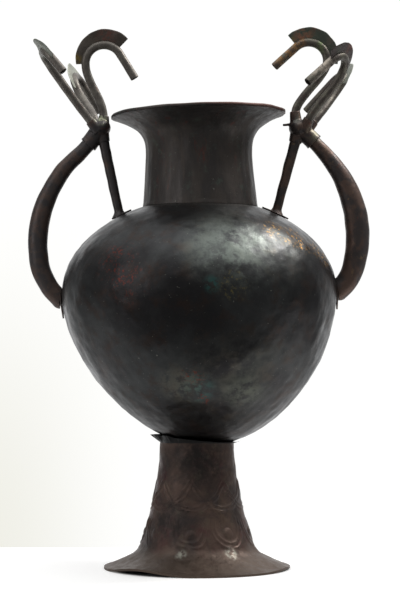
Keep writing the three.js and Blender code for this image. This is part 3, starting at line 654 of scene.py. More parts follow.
def along_path(points, count):
    """A path through points with even steps, from straight pieces between close points."""
    steps = np.linalg.norm(np.diff(points, axis=0), axis=1)
    travelled = np.concatenate([[0], np.cumsum(steps)])
    even = np.linspace(0, travelled[-1], count)
    return np.stack([np.interp(even, travelled, points[:, axis]) for axis in range(3)], axis=-1)


def curve_through(points):
    """The centripetal Catmull-Rom curve: each span is a cubic whose end slopes come from the points
    on either side, with knots spaced by the square root of the distances."""
    points = np.array(points, float)
    first = 2 * points[0] - points[1]
    last = 2 * points[-1] - points[-2]
    knots = np.concatenate([[first], points, [last]])
    t = np.linspace(0, 1, 40, endpoint=False)[:, None]
    spans = []
    for k in range(len(points) - 1):
        a, b, c, d = knots[k:k + 4]
        before, here, after = [math.sqrt(np.linalg.norm(gap)) for gap in (b - a, c - b, d - c)]
        start = ((b - a) / before - (c - a) / (before + here) + (c - b) / here) * here
        finish = ((c - b) / here - (d - b) / (here + after) + (d - c) / after) * here
        spans.append((2 * t ** 3 - 3 * t ** 2 + 1) * b + (t ** 3 - 2 * t ** 2 + t) * start
                     + (-2 * t ** 3 + 3 * t ** 2) * c + (t ** 3 - t ** 2) * finish)
    return np.concatenate(spans + [points[-1:]])


# Handles

def hub_of(side):
    out, below = side["hub"]
    return np.array([side["sign"] * out, 0, RIM_HEIGHT - below])


def mirrored(side, place):
    """A place or direction given as out, along and up, turned to the side's own +X or -X."""
    out, along, rise = place
    return np.array([side["sign"] * out, along, rise], float)


def handle_path(side, count):
    hub = hub_of(side)
    height = np.array(BELLY_BOTTOM + side["attach"])
    reach = belly_radius_at(height) + GAP + LEAF_THICKNESS / 2
    foot = np.array([side["sign"] * reach + belly_lean(height), 0, height])
    route = [hub]
    for share, out in side["route"]:
        straight = hub[0] + (side["sign"] * BELLY_RADIUS - hub[0]) * share
        route.append([straight + side["sign"] * out, 0, hub[2] + (foot[2] - hub[2]) * share])
    return along_path(curve_through(route + [foot]), count)


def handle_radius(radii, share):
    """Top radius swelling to the middle one at its share of the length, then to the foot's."""
    top, middle, foot = radii
    upper = top + (middle - top) * smoothstep((share - SWELL_START) / (SWELL_AT - SWELL_START))
    lower = middle + (foot - middle) * smoothstep((share - SWELL_AT) / (1 - SWELL_AT))
    return np.where(share < SWELL_AT, upper, lower)


def leaf_shape(share):
    """Half width of a pointed leaf as a share: the cosine of a quarter turn."""
    return np.maximum(0.04, np.cos(math.pi / 2 * share))


def leaf_part(sign, heights, half_widths, curl):
    """A leaf plate on the belly's skin: each row's section runs out over the plate and back under
    it, and the curl lifts the leaf's tips off the skin."""
    sides = 18
    across = np.concatenate([np.linspace(-1, 1, sides), np.linspace(1, -1, sides)[1:-1]])
    upper = np.concatenate([np.ones(sides), np.zeros(sides - 2)])
    upper[[0, sides - 1]] = 0.5
    along = half_widths[:, None] * across
    lift = GAP * 0.4 + LEAF_THICKNESS * upper * (1 - 0.3 * across ** 4) + curl[:, None]
    radius = belly_radius_at(heights)
    normal = belly_normal(heights)
    reach = radius[:, None] + lift * normal[:, :1]
    angle = np.arcsin(np.clip(along / radius[:, None], -1, 1))
    x = sign * reach * np.cos(angle) + belly_lean(heights)[:, None]
    grid = np.stack([x, reach * np.sin(angle), heights[:, None] + lift * normal[:, 1:]], axis=-1)
    return capped(grid)


def rounded_end(path, rim, sign):
    """Rows that close a handle's foot onto its leaf: each moves on along the path and shrinks as a
    half ellipse, and nothing passes the leaf's outer face."""
    onward = unit(path[-1] - path[-4])
    face = sign * path[-1, 0] + LEAF_THICKNESS / 2 + 0.1
    rows = []
    for share in (0.15, 0.3, 0.45, 0.6, 0.74, 0.86, 0.94, 0.99):
        row = path[-1] + onward * HANDLE_END * share + (rim - path[-1]) * math.sqrt(1 - share ** 2)
        row[:, 0] = sign * np.maximum(sign * row[:, 0], face)
        rows.append(row)
    return np.stack(rows)


def make_handle(name, side, material):
    path = handle_path(side, 240)
    length = np.sum(np.linalg.norm(np.diff(path, axis=0), axis=1))
    share = np.linspace(0, 1, len(path))
    keep = share * length > HANDLE_INSET
    path = path[keep]
    radius = handle_radius(side["radii"], share[keep])
    sides = 56
    grid = tube_grid(path, radius, sides)
    sunk = 0.2 * (1 + ripple(grid, 18, 31 + side["sign"])) + 0.25 * (1 + ripple(grid, 45, 33)) * 0.5
    seam = 0.5 * line_at(np.arange(sides) - HANDLE_SEAM * sides, 1.0)
    grid = tube_grid(path, radius[:, None] - sunk - seam, sides)
    inner = tube_grid(path, radius - SHEET - 0.6, sides)
    end = rounded_end(path, grid[-1], side["sign"])
    tube = outward(tube_mesh(np.concatenate([grid, end, inner[::-1]])))
    along = np.linspace(-1, 1, 61)
    heights = BELLY_BOTTOM + side["attach"] + np.where(along > 0, LEAF_ABOVE, LEAF_BELOW) * along
    curl = 1.2 * np.clip(-along - 0.3, 0, 1) ** 2
    leaf = leaf_part(side["sign"], heights, LEAF_WIDTH / 2 * leaf_shape(along), curl)
    part = joined([tube, leaf])
    add_piece(f"{name}_handle_tube", part, f"{name}_handle", material)


# Struts

def strut_line(side):
    """The strut's foot on the shoulder and its direction away from the hub."""
    strut = side["strut"]
    height = shoulder_height(strut["foot"])
    foot = np.array([side["sign"] * strut["foot"] + LEAN_TO_NECK, 0, height])
    return foot, unit(foot - hub_of(side))


def make_strut(name, side, material):
    strut = side["strut"]
    foot, direction = strut_line(side)
    top = hub_of(side) + direction * 6
    length = np.linalg.norm(foot - top)
    straight = np.linspace(0, length - 9, 70)
    travelled = np.concatenate([straight, length + np.linspace(-8.5, 0.5, 20)])
    path = top + travelled[:, None] * direction
    share = travelled / length
    radius = strut["top"] + (strut["bottom"] - strut["top"]) * share
    radius = radius + STRUT_FLARE * smoothstep((travelled - length + 8) / 8.5) ** 2
    sides = 36
    sunk = 0.16 * (1 + ripple(tube_grid(path, radius, sides), 14, 41 + side["sign"]))
    bar = rod(path, radius[:, None] - sunk, sides)
    inner_reach, outer_reach, width = strut["leaf"]
    along = np.linspace(-1, 1, 49)
    radial = strut["foot"] - np.where(along > 0, inner_reach, outer_reach) * along
    curl = 0.2 + 0.8 * np.clip(np.abs(along) - 0.4, 0, 1) ** 2
    leaf = leaf_part(side["sign"], shoulder_height(radial), width / 2 * leaf_shape(along), curl)
    part = joined([bar, leaf])
    add_piece(f"{name}_strut_bar", part, f"{name}_strut", material)


# Hooks and crests

def hook_frame(side, hook):
    """Axes of a hook's bend: up along its stem's end, forward square to it, and their normal."""
    up = unit(mirrored(side, hook["lean"]))
    facing = math.radians(hook["facing"])
    forward = mirrored(side, (-math.cos(facing), math.sin(facing), 0))
    forward = unit(forward - up * (forward @ up))
    return up, forward, np.cross(forward, up)


def from_hub(side, place):
    return hub_of(side) + mirrored(side, place)


def hook_path(side, hook):
    """Stem, bend and straight end: a cubic Bezier, an arc of a circle and a line."""
    up, forward, _ = hook_frame(side, hook)
    base = from_hub(side, hook["base"])
    crown = from_hub(side, hook["crown"])
    bow = unit(mirrored(side, hook["bow"]))
    t = np.linspace(0, 1, 80)[:, None]
    second = base + bow * hook["pull"]
    third = crown - up * hook["pull"]
    stem = ((1 - t) ** 3 * base + 3 * (1 - t) ** 2 * t * second
            + 3 * (1 - t) * t ** 2 * third + t ** 3 * crown)
    angle = np.linspace(0, math.radians(hook["sweep"]), 60)[:, None]
    centre = crown + forward * BEND_RADIUS
    bend = centre - forward * BEND_RADIUS * np.cos(angle) + up * BEND_RADIUS * np.sin(angle)
    heading = forward * math.sin(angle[-1, 0]) + up * math.cos(angle[-1, 0])
    straight = bend[-1] + heading * np.linspace(0, hook["end"], 30)[:, None]
    return np.concatenate([base[None] - bow * 4, stem, bend[1:], straight[1:]])


def make_hook(name, facing, side, hook, material, seed):
    path = along_path(hook_path(side, hook), 190)
    _, _, normal = hook_frame(side, hook)
    sides = 36
    grid = tube_grid(path, np.full(len(path), HOOK_RADIUS), sides, normal)
    sunk = 0.07 * (1 + ripple(grid, 11, seed)) + 0.08 * (1 + ripple(grid, 30, seed + 1))
    seam = 0.08 * line_at(np.arange(sides) - sides * 0.5, 1.2)
    radius = HOOK_RADIUS - sunk - seam
    outer = tube_grid(path, radius, sides, normal)
    inner = tube_grid(path, radius - HOOK_WALL, sides, normal)
    rim = (outer[-1] * 0.5 + inner[-1] * 0.5 + unit(path[-1] - path[-2]) * 0.25)[None]
    part = tube_mesh(np.concatenate([outer, rim, inner[::-1]]))
    add_piece(f"{name}_{facing}_crook", part, f"{name}_{facing}_hook", material)


def make_crest(name, facing, side, hook, material, seed):
    """A thin crescent in the bend's plane. Its inner edge is the tube's outside, its outer edge a
    circle whose centre lies forward of the bend's and above it, and it waves a little sideways."""
    up, forward, normal = hook_frame(side, hook)
    centre = from_hub(side, hook["crown"]) + forward * BEND_RADIUS
    angle = np.radians(np.linspace(180, 180 - min(CREST_SWEEP, hook["sweep"]), 110))
    along = np.stack([np.cos(angle), np.sin(angle)], axis=-1)
    edge_radius, edge_forward, edge_rise = hook["crest"]
    offset = np.array([edge_forward, edge_rise])
    nearest = along @ offset
    edge = nearest + np.sqrt(edge_radius ** 2 - offset @ offset + nearest ** 2)
    inner = BEND_RADIUS + HOOK_RADIUS - 0.8
    steps = 16
    outwards = np.concatenate([np.linspace(0, 1, steps), np.linspace(1, 0, steps)[1:-1]])
    face = np.concatenate([np.ones(steps), -np.ones(steps - 2)])
    face[[0, steps - 1]] = 0
    nick = 0.16 * ripple(np.stack([angle * 30, angle * 0, angle * 0], axis=-1), 9, seed) - 0.2
    reach = inner + (edge + nick - inner)[:, None] * outwards
    place = along[:, None] * reach[..., None]
    grid = centre + place[..., :1] * forward + place[..., 1:] * up
    wave = 0.55 * ripple(grid, 26, seed + 1) * outwards
    thick = CREST_THICKNESS / 2 * (1 - 0.35 * outwards)
    grid = grid + (wave + face * thick)[..., None] * normal
    part = capped(grid)
    add_piece(f"{name}_{facing}_crescent", part, f"{name}_{facing}_crest", material)


# Collars

def ball_part(centre, radii):
    """An ellipsoid as a grid of latitude and longitude with its poles closed."""
    latitude = np.radians(np.linspace(-84, 84, 25))
    grid = turned_grid(np.cos(latitude), np.sin(latitude), 40) * np.array(radii) + centre
    top = np.array([0, 0, radii[2]])
    return outward(tube_mesh(grid, centre - top, centre + top))


def make_collar(name, side, material):
    """Sleeve, knuckle and sockets are joined, remade as one skin and smoothed, as a cast joint is."""
    hub = hub_of(side)
    path = handle_path(side, 400)
    step = np.linalg.norm(path[1] - path[0])
    sleeve_path = path[: int(SLEEVE_LENGTH / step)]
    travelled = np.arange(len(sleeve_path)) * step
    ring = 0.35 * line_at(travelled - SLEEVE_LENGTH + 1.6, 1.3)
    parts = [rod(sleeve_path, SLEEVE_RADIUS - 0.3 + ring, 40), ball_part(hub, KNUCKLE_RADII)]
    _, direction = strut_line(side)
    strut_socket = hub + np.linspace(0, 15, 20)[:, None] * direction
    parts.append(rod(strut_socket, np.linspace(8, side["strut"]["top"] + 0.7, 20), 32))
    for hook in side["hooks"].values():
        bow = unit(mirrored(side, hook["bow"]))
        socket = from_hub(side, hook["base"]) + np.linspace(-9, 4, 20)[:, None] * bow
        _, _, normal = hook_frame(side, hook)
        parts.append(rod(socket, np.linspace(6.4, HOOK_RADIUS + 0.8, 20), 28, normal))
    if side["sign"] > 0:
        spur = np.linspace(0, SPUR_LENGTH, 12)[:, None] * unit(np.array([-1, 0, -0.1]))
        parts.append(rod(hub + SPUR_START + spur, np.linspace(1.5, 1.2, 12), 16))
    rough = new_object(f"{name}_collar_rough", blender_mesh(f"{name}_collar_rough", joined(parts)))
    remake = rough.modifiers.new("one_skin", "REMESH")
    remake.mode = "VOXEL"
    remake.voxel_size = 0.5 * MM
    soften = rough.modifiers.new("soften", "SMOOTH")
    soften.factor = 0.5
    soften.iterations = 7
    depsgraph = bpy.context.evaluated_depsgraph_get()
    cast = bpy.data.meshes.new_from_object(rough.evaluated_get(depsgraph))
    bpy.data.objects.remove(rough)
    cast.name = f"{name}_collar_cast"
    place_piece(cast.name, cast, f"{name}_collar", material)


# Nodes. Lengths from here on are metres

class Nodes:
    """A node tree with short calls. An input is given a value or the output of another node."""

    def __init__(self, tree):
        self.tree = tree

    def put(self, socket, value):
        if isinstance(value, bpy.types.NodeSocket):
            self.tree.links.new(value, socket)
        else:
            socket.default_value = (*value, 1) if socket.type == "RGBA" else value

    def add(self, kind, inputs, **settings):
        """Adds a node, sets it up and gives back its outputs."""
        node = self.tree.nodes.new(kind)
        for setting, value in settings.items():
            setattr(node, setting, value)
        for name, value in inputs.items():
            self.put(node.inputs[name], value)
        return node.outputs

    def between(self, value, low, high, out_low=0, out_high=1):
        """Eases from out_low to out_high as the value goes from low to high."""
        inputs = {"Value": value, "From Min": low, "From Max": high, "To Min": out_low, "To Max": out_high}
        return self.add("ShaderNodeMapRange", inputs, interpolation_type="SMOOTHSTEP")["Result"]

    def combined(self, operation, first, second):
        return self.add("ShaderNodeMath", {0: first, 1: second}, operation=operation)["Value"]

    def times(self, *values):
        """The product of all the values."""
        product = values[0]
        for value in values[1:]:
            product = self.combined("MULTIPLY", product, value)
        return product

    def mixed(self, share, first, second):
        return self.add("ShaderNodeMix", {"Factor": share, 6: first, 7: second}, data_type="RGBA")[2]

    def veiled(self, colour, tint, pattern, low, high, share=1):
        """A tint laid over the colour as a pattern's value goes from low to high."""
        return self.mixed(self.between(pattern, low, high, 0, share), colour, tint)


class Patina(Nodes):
    """One material's nodes. All of its patterns read Object coordinates in metres."""

    def __init__(self, name, metallic, roughness):
        self.material = bpy.data.materials.new(name)
        self.material.use_nodes = True
        super().__init__(self.material.node_tree)
        self.shade({"Metallic": metallic, "Roughness": roughness})
        self.coordinates = self.add("ShaderNodeTexCoord", {})["Object"]
        self.height = self.add("ShaderNodeSeparateXYZ", {0: self.coordinates})["Z"]

    def shade(self, values):
        for name, value in values.items():
            self.put(self.tree.nodes["Principled BSDF"].inputs[name], value)

    def stretched(self, scale):
        return self.add("ShaderNodeMapping", {"Vector": self.coordinates, "Scale": scale})["Vector"]

    def noise(self, scale, detail=4, roughness=0.55, distortion=0, vector=None):
        inputs = {"Vector": vector or self.coordinates, "Scale": scale, "Detail": detail,
                  "Roughness": roughness, "Distortion": distortion}
        return self.add("ShaderNodeTexNoise", inputs)["Fac"]

    def near(self, place, reach, soft):
        """1 near a place, falling to 0 at its reach over a soft share of it."""
        inputs = {0: self.coordinates, 1: place}
        distance = self.add("ShaderNodeVectorMath", inputs, operation="DISTANCE")["Value"]
        return self.between(distance, reach, reach * (1 - soft))

    def patches(self, colour, places, scale=150, specks=False):
        """Lays broken patches of colour: each is a place, a reach, a colour and a share. Specks are
        finer and lie in loose groups."""
        grain = self.noise(scale, 5, 0.7)
        if specks:
            groups = self.between(self.noise(scale * 0.3, 3, 0.6, 0.6), 0.40, 0.56)
            grain = self.times(self.between(grain, 0.49, 0.65), groups)
        else:
            grain = self.between(grain, 0.40, 0.56)
        for place, reach, patch, share in places:
            colour = self.mixed(self.times(self.near(place, reach, 0.8), grain, share), colour, patch)
        return colour

    def finish(self, colour, roughness, bumps):
        """Bumps are (height output, distance in metres) pairs, laid over each other."""
        under = {}
        for height, distance in bumps:
            bump = self.add("ShaderNodeBump", {"Height": height, "Distance": distance, **under})
            under = {"Normal": bump["Normal"]}
        self.shade({"Base Color": colour, "Roughness": roughness, **under})
        return self.material


# Patinas, with painted highlights and painted shade

CHARCOAL = (0.030, 0.029, 0.030)
SLATE = (0.052, 0.054, 0.054)
# Near black: painted shade where belly and foot meet and on faces turned down, and two dark patches on the
# foot's stem
NEAR_BLACK = (0.006, 0.006, 0.006)
UMBER = (0.048, 0.031, 0.024)
PLUM = (0.075, 0.026, 0.028)
CUPRITE = (0.22, 0.035, 0.018)
VERDIGRIS = (0.12, 0.19, 0.15)
TEAL = (0.05, 0.19, 0.17)
GOLDEN = (0.55, 0.27, 0.06)
PALE = (0.45, 0.45, 0.38)
OLIVE = (0.10, 0.088, 0.060)

# Painted highlights on the belly, as broad broken clouds: place, reach, noise scale and detail, its ends,
# share and colour
BELLY_PAINTED_HIGHLIGHTS = [
    ((0.045, -0.110, 0.325), 0.085, 28, 6, (0.38, 0.62), 0.75, (0.135, 0.148, 0.136)),
    ((0.030, -0.100, 0.185), 0.075, 30, 6, (0.38, 0.62), 0.6, (0.10, 0.105, 0.09)),
    ((0.032, -0.122, 0.315), 0.060, 60, 5, (0.42, 0.58), 0.5, (0.20, 0.235, 0.205)),
]
BELLY_PATCHES = [
    ((-0.002, -0.104, 0.178), 0.022, TEAL, 0.4),
    ((-0.018, -0.103, 0.182), 0.030, (0.13, 0.125, 0.10), 0.6),
    ((0.012, -0.136, 0.278), 0.011, TEAL, 0.5),
    ((0.045, -0.095, 0.172), 0.030, (0.11, 0.12, 0.095), 0.6),
]
BELLY_SPECKS = [
    ((-0.080, -0.104, 0.302), 0.030, CUPRITE, 0.65),
    ((-0.066, -0.118, 0.280), 0.030, CUPRITE, 0.5),
    ((0.033, -0.133, 0.277), 0.020, (0.30, 0.24, 0.08), 0.6),
    ((0.075, -0.079, 0.331), 0.022, (0.55, 0.31, 0.07), 0.8),
    ((0.095, -0.066, 0.324), 0.024, (0.60, 0.30, 0.05), 1.0),
    ((0.118, -0.044, 0.311), 0.024, (0.55, 0.28, 0.05), 1.0),
    ((-0.005, -0.112, 0.192), 0.016, CUPRITE, 1.0),
    ((0.008, -0.098, 0.167), 0.014, CUPRITE, 1.0),
]
FOOT_PATCHES = [
    ((0.030, -0.055, 0.060), 0.035, (0.12, 0.08, 0.055), 0.7),
    # Painted highlights on two studs
    ((-0.018, -0.060, 0.020), 0.008, PALE, 0.8),
    ((0.033, -0.052, 0.020), 0.010, PALE, 0.8),
    ((0.005, -0.038, 0.110), 0.040, NEAR_BLACK, 0.5),
    ((-0.025, -0.040, 0.055), 0.030, NEAR_BLACK, 0.45),
]


def belly_patina_and_painted_light():
    skin = Patina("belly_patina_and_painted_light", 0.88, 0.4)
    mottle = skin.noise(60, 6, 0.65)
    colour = skin.veiled(CHARCOAL, SLATE, skin.noise(11, 5, 0.6, 0.5), 0.40, 0.66)
    colour = skin.veiled(colour, UMBER, mottle, 0.46, 0.70, 0.6)
    # Painted highlights on the right shoulder and low on the right of the belly
    for place, reach, scale, detail, ends, share, tint in BELLY_PAINTED_HIGHLIGHTS:
        broken = skin.between(skin.noise(scale, detail, 0.7), *ends)
        colour = skin.mixed(skin.times(skin.near(place, reach, 0.9), broken, share), colour, tint)
    colour = skin.patches(colour, BELLY_PATCHES, 110)
    colour = skin.patches(colour, BELLY_SPECKS, 330, specks=True)
    colour = skin.veiled(colour, PALE, skin.noise(420, 3, 0.6), 0.68, 0.75, 0.35)
    shade_over_foot = (0.1345, 0.1315)
    highlight_at_neck = (0.3560, 0.3595)
    # Painted shade on the belly's bottom, where it sits in the foot's mouth
    colour = skin.veiled(colour, NEAR_BLACK, skin.height, *shade_over_foot)
    # A painted highlight line on the shoulder round the foot of the neck
    colour = skin.veiled(colour, (0.20, 0.19, 0.17), skin.height, *highlight_at_neck, 0.4)
    rough = skin.between(skin.noise(22, 6, 0.7), 0.3, 0.7, 0.28, 0.50)
    bumps = [(skin.noise(24, 3, 0.5), 0.0016), (mottle, 0.0003), (skin.noise(700, 3), 0.00008)]
    return skin.finish(colour, rough, bumps)


def neck_patina():
    skin = Patina("neck_patina", 0.65, 0.46)
    streaks = skin.noise(220, 5, 0.7, 0, skin.stretched((1, 1, 0.07)))
    broad = skin.noise(36, 4, 0.6, 0.3, skin.stretched((1, 1, 0.35)))
    red = skin.noise(90, 6, 0.75, 0, skin.stretched((1, 1, 0.3)))
    colour = skin.veiled((0.060, 0.054, 0.051), (0.082, 0.070, 0.062), broad, 0.42, 0.62)
    colour = skin.veiled(colour, (0.105, 0.085, 0.072), streaks, 0.50, 0.75, 0.6)
    colour = skin.veiled(colour, VERDIGRIS, skin.noise(70, 5, 0.7), 0.56, 0.70, 0.25)
    colour = skin.veiled(colour, CUPRITE, red, 0.57, 0.68, 0.3)
    colour = skin.veiled(colour, PALE, skin.noise(380, 3, 0.6), 0.68, 0.75, 0.4)
    red_lip = (0.4515, 0.4545)
    colour = skin.veiled(colour, (0.15, 0.065, 0.05), skin.height, *red_lip, 0.6)
    rough = skin.between(streaks, 0.3, 0.7, 0.42, 0.62)
    return skin.finish(colour, rough, [(streaks, 0.00022), (skin.noise(60, 4), 0.0007)])


def foot_patina_and_painted_light():
    skin = Patina("foot_patina_and_painted_light", 0.62, 0.5)
    clouds = skin.noise(24, 5, 0.65, 0.5)
    colour = skin.veiled((0.042, 0.031, 0.028), (0.100, 0.064, 0.050), clouds, 0.38, 0.62)
    colour = skin.veiled(colour, PLUM, skin.noise(40, 6, 0.7), 0.52, 0.66, 0.5)
    colour = skin.veiled(colour, OLIVE, skin.noise(90, 5, 0.7), 0.55, 0.68, 0.35)
    paler_towards_brim = (0.030, 0.008)
    shade_at_lip = (0.1248, 0.1262)
    shade_facing_down = (-0.15, -0.35)
    # The foot's colour grows paler towards the brim
    colour = skin.veiled(colour, (0.112, 0.082, 0.062), skin.height, *paler_towards_brim, 0.85)
    colour = skin.patches(colour, FOOT_PATCHES)
    # Painted shade on the lip round the foot's top, under the belly
    colour = skin.veiled(colour, NEAR_BLACK, skin.height, *shade_at_lip, 0.9)
    colour = skin.patches(colour, [((-0.034, -0.028, 0.130), 0.008, (0.10, 0.10, 0.085), 1.0)])
    # Painted shade on faces that look down, such as the undersides of the brim and the lip
    tilt = skin.add("ShaderNodeSeparateXYZ", {0: skin.add("ShaderNodeTexCoord", {})["Normal"]})["Z"]
    colour = skin.veiled(colour, NEAR_BLACK, tilt, *shade_facing_down)
    rough = skin.between(skin.noise(70, 6, 0.7), 0.3, 0.7, 0.40, 0.66)
    return skin.finish(colour, rough, [(skin.noise(80, 5, 0.6), 0.0009), (skin.noise(420, 4), 0.00018)])


def tube_patina(name, ground, cloud, worn, places, worn_share=0.6, scale=60):
    skin = Patina(name, 0.62, 0.44)
    colour = skin.veiled(ground, cloud, skin.noise(scale, 5, 0.6, 0.3), 0.42, 0.62)
    colour = skin.veiled(colour, worn, skin.noise(scale * 1.7, 6, 0.72, 0.2), 0.58, 0.72, worn_share)
    colour = skin.veiled(colour, CUPRITE, skin.noise(scale * 1.1, 5, 0.7, 0.5), 0.6, 0.72, 0.3)
    colour = skin.patches(colour, places)
    rough = skin.between(skin.noise(scale * 2, 5, 0.7), 0.3, 0.7, 0.36, 0.56)
    return skin.finish(colour, rough, [(skin.noise(scale * 3, 4), 0.0003), (skin.noise(600, 2), 0.00003)])


def crest_patina(name, ground, cloud, places):
    skin = Patina(name, 0.4, 0.5)
    colour = skin.veiled(ground, cloud, skin.noise(90, 5, 0.65), 0.4, 0.62)
    colour = skin.veiled(colour, OLIVE, skin.noise(240, 5, 0.7), 0.58, 0.72, 0.2)
    colour = skin.patches(colour, places)
    rough = skin.between(skin.noise(160, 5, 0.7), 0.3, 0.7, 0.42, 0.66)
    return skin.finish(colour, rough, [(skin.noise(260, 5), 0.0003)])


# Stage, light and camera

TABLE_FRONT = 0.22
TABLE_BEHIND = 0.20
TABLE_SIDE = 1.5
TABLE_GLOW = 0.38
# Painted shadow round the foot: the table's glow starts at the first radius and is full at the second
GLOW_FROM = 0.087
GLOW_FULL = 0.096
ROOM_DARK = 0.20
WALL_LIGHT = 1.15
SKY_LIGHT = 1.6
WHITE_WALL = (1.02, 1.02, 1.01)
CREAM_WALL = (0.87, 0.865, 0.80)
EYE_DISTANCE = 1.967
EYE_HEIGHT = 0.216
AIM_HEIGHT = 0.2716
AIM_ACROSS = 0.001
PHOTO_HEIGHT = 590
LENS_TRIM = 1.001


def make_table():
    """A white top that the camera sees glow, as paper burnt out in a photograph does, but not close round
    the foot, where the missing glow is a painted shadow."""
    near_edge = [(-TABLE_SIDE, -TABLE_FRONT, 0), (TABLE_SIDE, -TABLE_FRONT, 0)]
    far_edge = [(TABLE_SIDE, TABLE_BEHIND, 0), (-TABLE_SIDE, TABLE_BEHIND, 0)]
    mesh = bpy.data.meshes.new("table_top")
    mesh.from_pydata(near_edge + far_edge, [], [(0, 1, 2, 3)])
    paper = Patina("table_white", 0, 0.7)
    from_foot = paper.add("ShaderNodeVectorMath", {0: paper.coordinates}, operation="LENGTH")["Value"]
    glow_edge = {"Value": from_foot, "From Min": GLOW_FROM, "From Max": GLOW_FULL}
    outside_painted_shadow = paper.add("ShaderNodeMapRange", glow_edge)
    seen = paper.add("ShaderNodeLightPath", {})["Is Camera Ray"]
    paper.shade({"Base Color": (0.80, 0.80, 0.80), "Emission Color": (1.0, 0.985, 0.955),
                 "Emission Strength": paper.times(seen, outside_painted_shadow["Result"], TABLE_GLOW)})
    mesh.materials.append(paper.material)
    table = new_object("table_top", mesh)


def make_world():
    """What lights the urn is bright behind and above and dark on the camera's side, as in a room with
    one white wall. What the camera sees is white, going cream low down on the left."""
    world = bpy.data.worlds.new("studio")
    world.use_nodes = True
    world.node_tree.nodes.clear()
    room = Nodes(world.node_tree)
    direction = room.add("ShaderNodeSeparateXYZ", {0: room.add("ShaderNodeTexCoord", {})["Generated"]})
    behind = room.between(direction["Y"], 0.5, 0.97, ROOM_DARK, WALL_LIGHT)
    overhead = room.between(direction["Z"], 0.5, 0.95, ROOM_DARK, SKY_LIGHT)
    strength = room.combined("MAXIMUM", behind, overhead)
    lit = room.add("ShaderNodeBackground", {"Color": (0.98, 0.99, 1.0), "Strength": strength})
    leftwards = room.between(direction["X"], -0.02, -0.11)
    downwards = room.between(direction["Z"], 0.10, -0.10)
    wall = room.mixed(room.times(leftwards, downwards), WHITE_WALL, CREAM_WALL)
    shown = room.add("ShaderNodeBackground", {"Color": wall})
    seen = room.add("ShaderNodeLightPath", {})["Is Camera Ray"]
    both = room.add("ShaderNodeMixShader", {0: seen, 1: lit[0], 2: shown[0]})
    room.add("ShaderNodeOutputWorld", {"Surface": both[0]})
    bpy.context.scene.world = world


def turned_to(place, aim):
    """The turn that points a light or a camera from its place at its aim."""
    return (Vector(aim) - Vector(place)).to_track_quat("-Z", "Y").to_euler()


def make_light(name, place, aim, size, power, colour):
    light = bpy.data.lights.new(name, "AREA")
    light.shape = "RECTANGLE"
    light.size, light.size_y = size
    light.energy = power
    light.color = colour
    lamp = new_object(name, light)
    lamp.location = place
    lamp.rotation_euler = turned_to(place, aim)


def make_camera():
    camera = bpy.data.cameras.new("photo_view")
    camera.sensor_width = 36
    camera.lens = LENS_TRIM * EYE_DISTANCE / MM / PHOTO_HEIGHT * camera.sensor_width
    eye = new_object("photo_view", camera)
    eye.location = (AIM_ACROSS, -EYE_DISTANCE, EYE_HEIGHT)
    eye.rotation_euler = turned_to(eye.location, (AIM_ACROSS, 0, AIM_HEIGHT))
    bpy.context.scene.camera = eye


make_camera()
make_world()
make_light("high_right", (0.95, 0.25, 1.5), (0.05, -0.05, 0.33), (0.35, 0.4), 15, (1.0, 0.97, 0.95))
make_light("left_fill", (-1.5, -0.9, 0.8), (0, 0, 0.25), (0.8, 1.2), 4.5, (1.0, 0.97, 0.97))
bpy.context.scene.view_settings.view_transform = "Standard"
make_table()

make_belly(belly_patina_and_painted_light())
make_neck(neck_patina())
make_foot(foot_patina_and_painted_light())

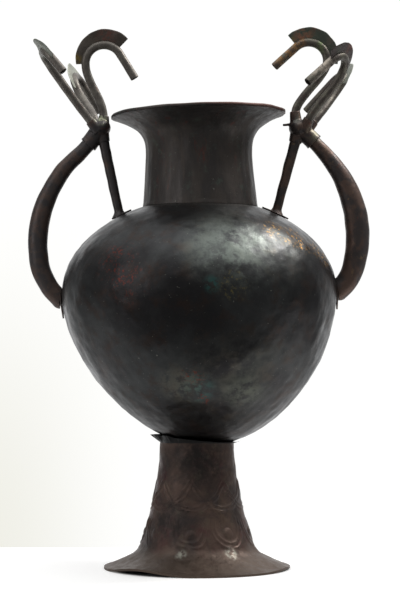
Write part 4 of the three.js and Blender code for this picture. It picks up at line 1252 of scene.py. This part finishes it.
handle_materials = {
    "left": tube_patina(
        "left_handle_patina_and_highlight", (0.062, 0.056, 0.056), (0.100, 0.070, 0.058), (0.19, 0.11, 0.08),
        # A painted highlight on the top of the left knuckle
        [((-0.098, -0.008, 0.447), 0.010, (0.50, 0.52, 0.36), 0.9)]),
    "right": tube_patina(
        "right_handle_patina", (0.064, 0.054, 0.052), (0.120, 0.078, 0.062), (0.33, 0.21, 0.10),
        [((0.117, -0.008, 0.434), 0.014, (0.22, 0.21, 0.14), 0.6),
         ((0.098, -0.010, 0.448), 0.010, (0.22, 0.23, 0.19), 0.6)]),
}
hook_materials = {
    "left": tube_patina(
        "left_hook_patina", (0.14, 0.125, 0.11), (0.20, 0.185, 0.16), (0.30, 0.28, 0.24),
        [((-0.148, -0.045, 0.508), 0.016, (0.34, 0.36, 0.30), 0.9)], 0.45, 90),
    "right": tube_patina(
        "right_hook_patina_and_highlight", (0.10, 0.085, 0.075), (0.155, 0.145, 0.115), (0.25, 0.22, 0.16),
        [((0.088, 0, 0.512), 0.022, (0.34, 0.19, 0.08), 0.9),
         ((0.100, 0, 0.524), 0.010, GOLDEN, 0.6),
         ((0.122, 0, 0.521), 0.012, (0.16, 0.20, 0.10), 0.9),
         # A painted highlight on the right front hook's free end
         ((0.118, -0.060, 0.492), 0.022, (0.46, 0.40, 0.33), 0.9)], 0.45, 90),
}
crest_patinas = {
    ("left", "inner"): crest_patina(
        "left_inner_crest_patina", (0.068, 0.056, 0.046), (0.090, 0.074, 0.060),
        [((-0.093, 0, 0.531), 0.014, CUPRITE, 0.3),
         ((-0.124, 0, 0.508), 0.009, (0.26, 0.18, 0.03), 0.7)]),
    ("left", "back"): crest_patina(
        "left_back_crest_patina", (0.27, 0.28, 0.235), (0.38, 0.39, 0.33), []),
    ("right", "inner"): crest_patina(
        "right_inner_crest_patina", (0.062, 0.076, 0.058), (0.080, 0.094, 0.070),
        [((0.105, 0, 0.529), 0.015, (0.26, 0.12, 0.07), 1.0),
         ((0.092, 0, 0.528), 0.006, (0.20, 0.15, 0.04), 0.6),
         ((0.118, 0, 0.541), 0.008, CUPRITE, 0.4),
         ((0.133, 0, 0.525), 0.010, (0.16, 0.12, 0.10), 0.5)]),
    ("right", "front"): crest_patina(
        "right_front_crest_patina", (0.076, 0.060, 0.056), (0.098, 0.078, 0.068),
        [((0.146, -0.045, 0.516), 0.012, (0.20, 0.06, 0.035), 0.7),
         ((0.137, -0.062, 0.510), 0.010, (0.10, 0.11, 0.085), 0.8)]),
}
green_crest = crest_patina("green_crest_patina", (0.19, 0.205, 0.17), (0.27, 0.28, 0.23), [])

seed = 50
for side_name, side_sizes in SIDES.items():
    make_handle(side_name, side_sizes, handle_materials[side_name])
    make_strut(side_name, side_sizes, handle_materials[side_name])
    make_collar(side_name, side_sizes, handle_materials[side_name])
    for facing_name, hook_sizes in side_sizes["hooks"].items():
        seed += 5
        make_hook(side_name, facing_name, side_sizes, hook_sizes, hook_materials[side_name], seed)
        finish = crest_patinas.get((side_name, facing_name), green_crest)
        make_crest(side_name, facing_name, side_sizes, hook_sizes, finish, seed + 2)
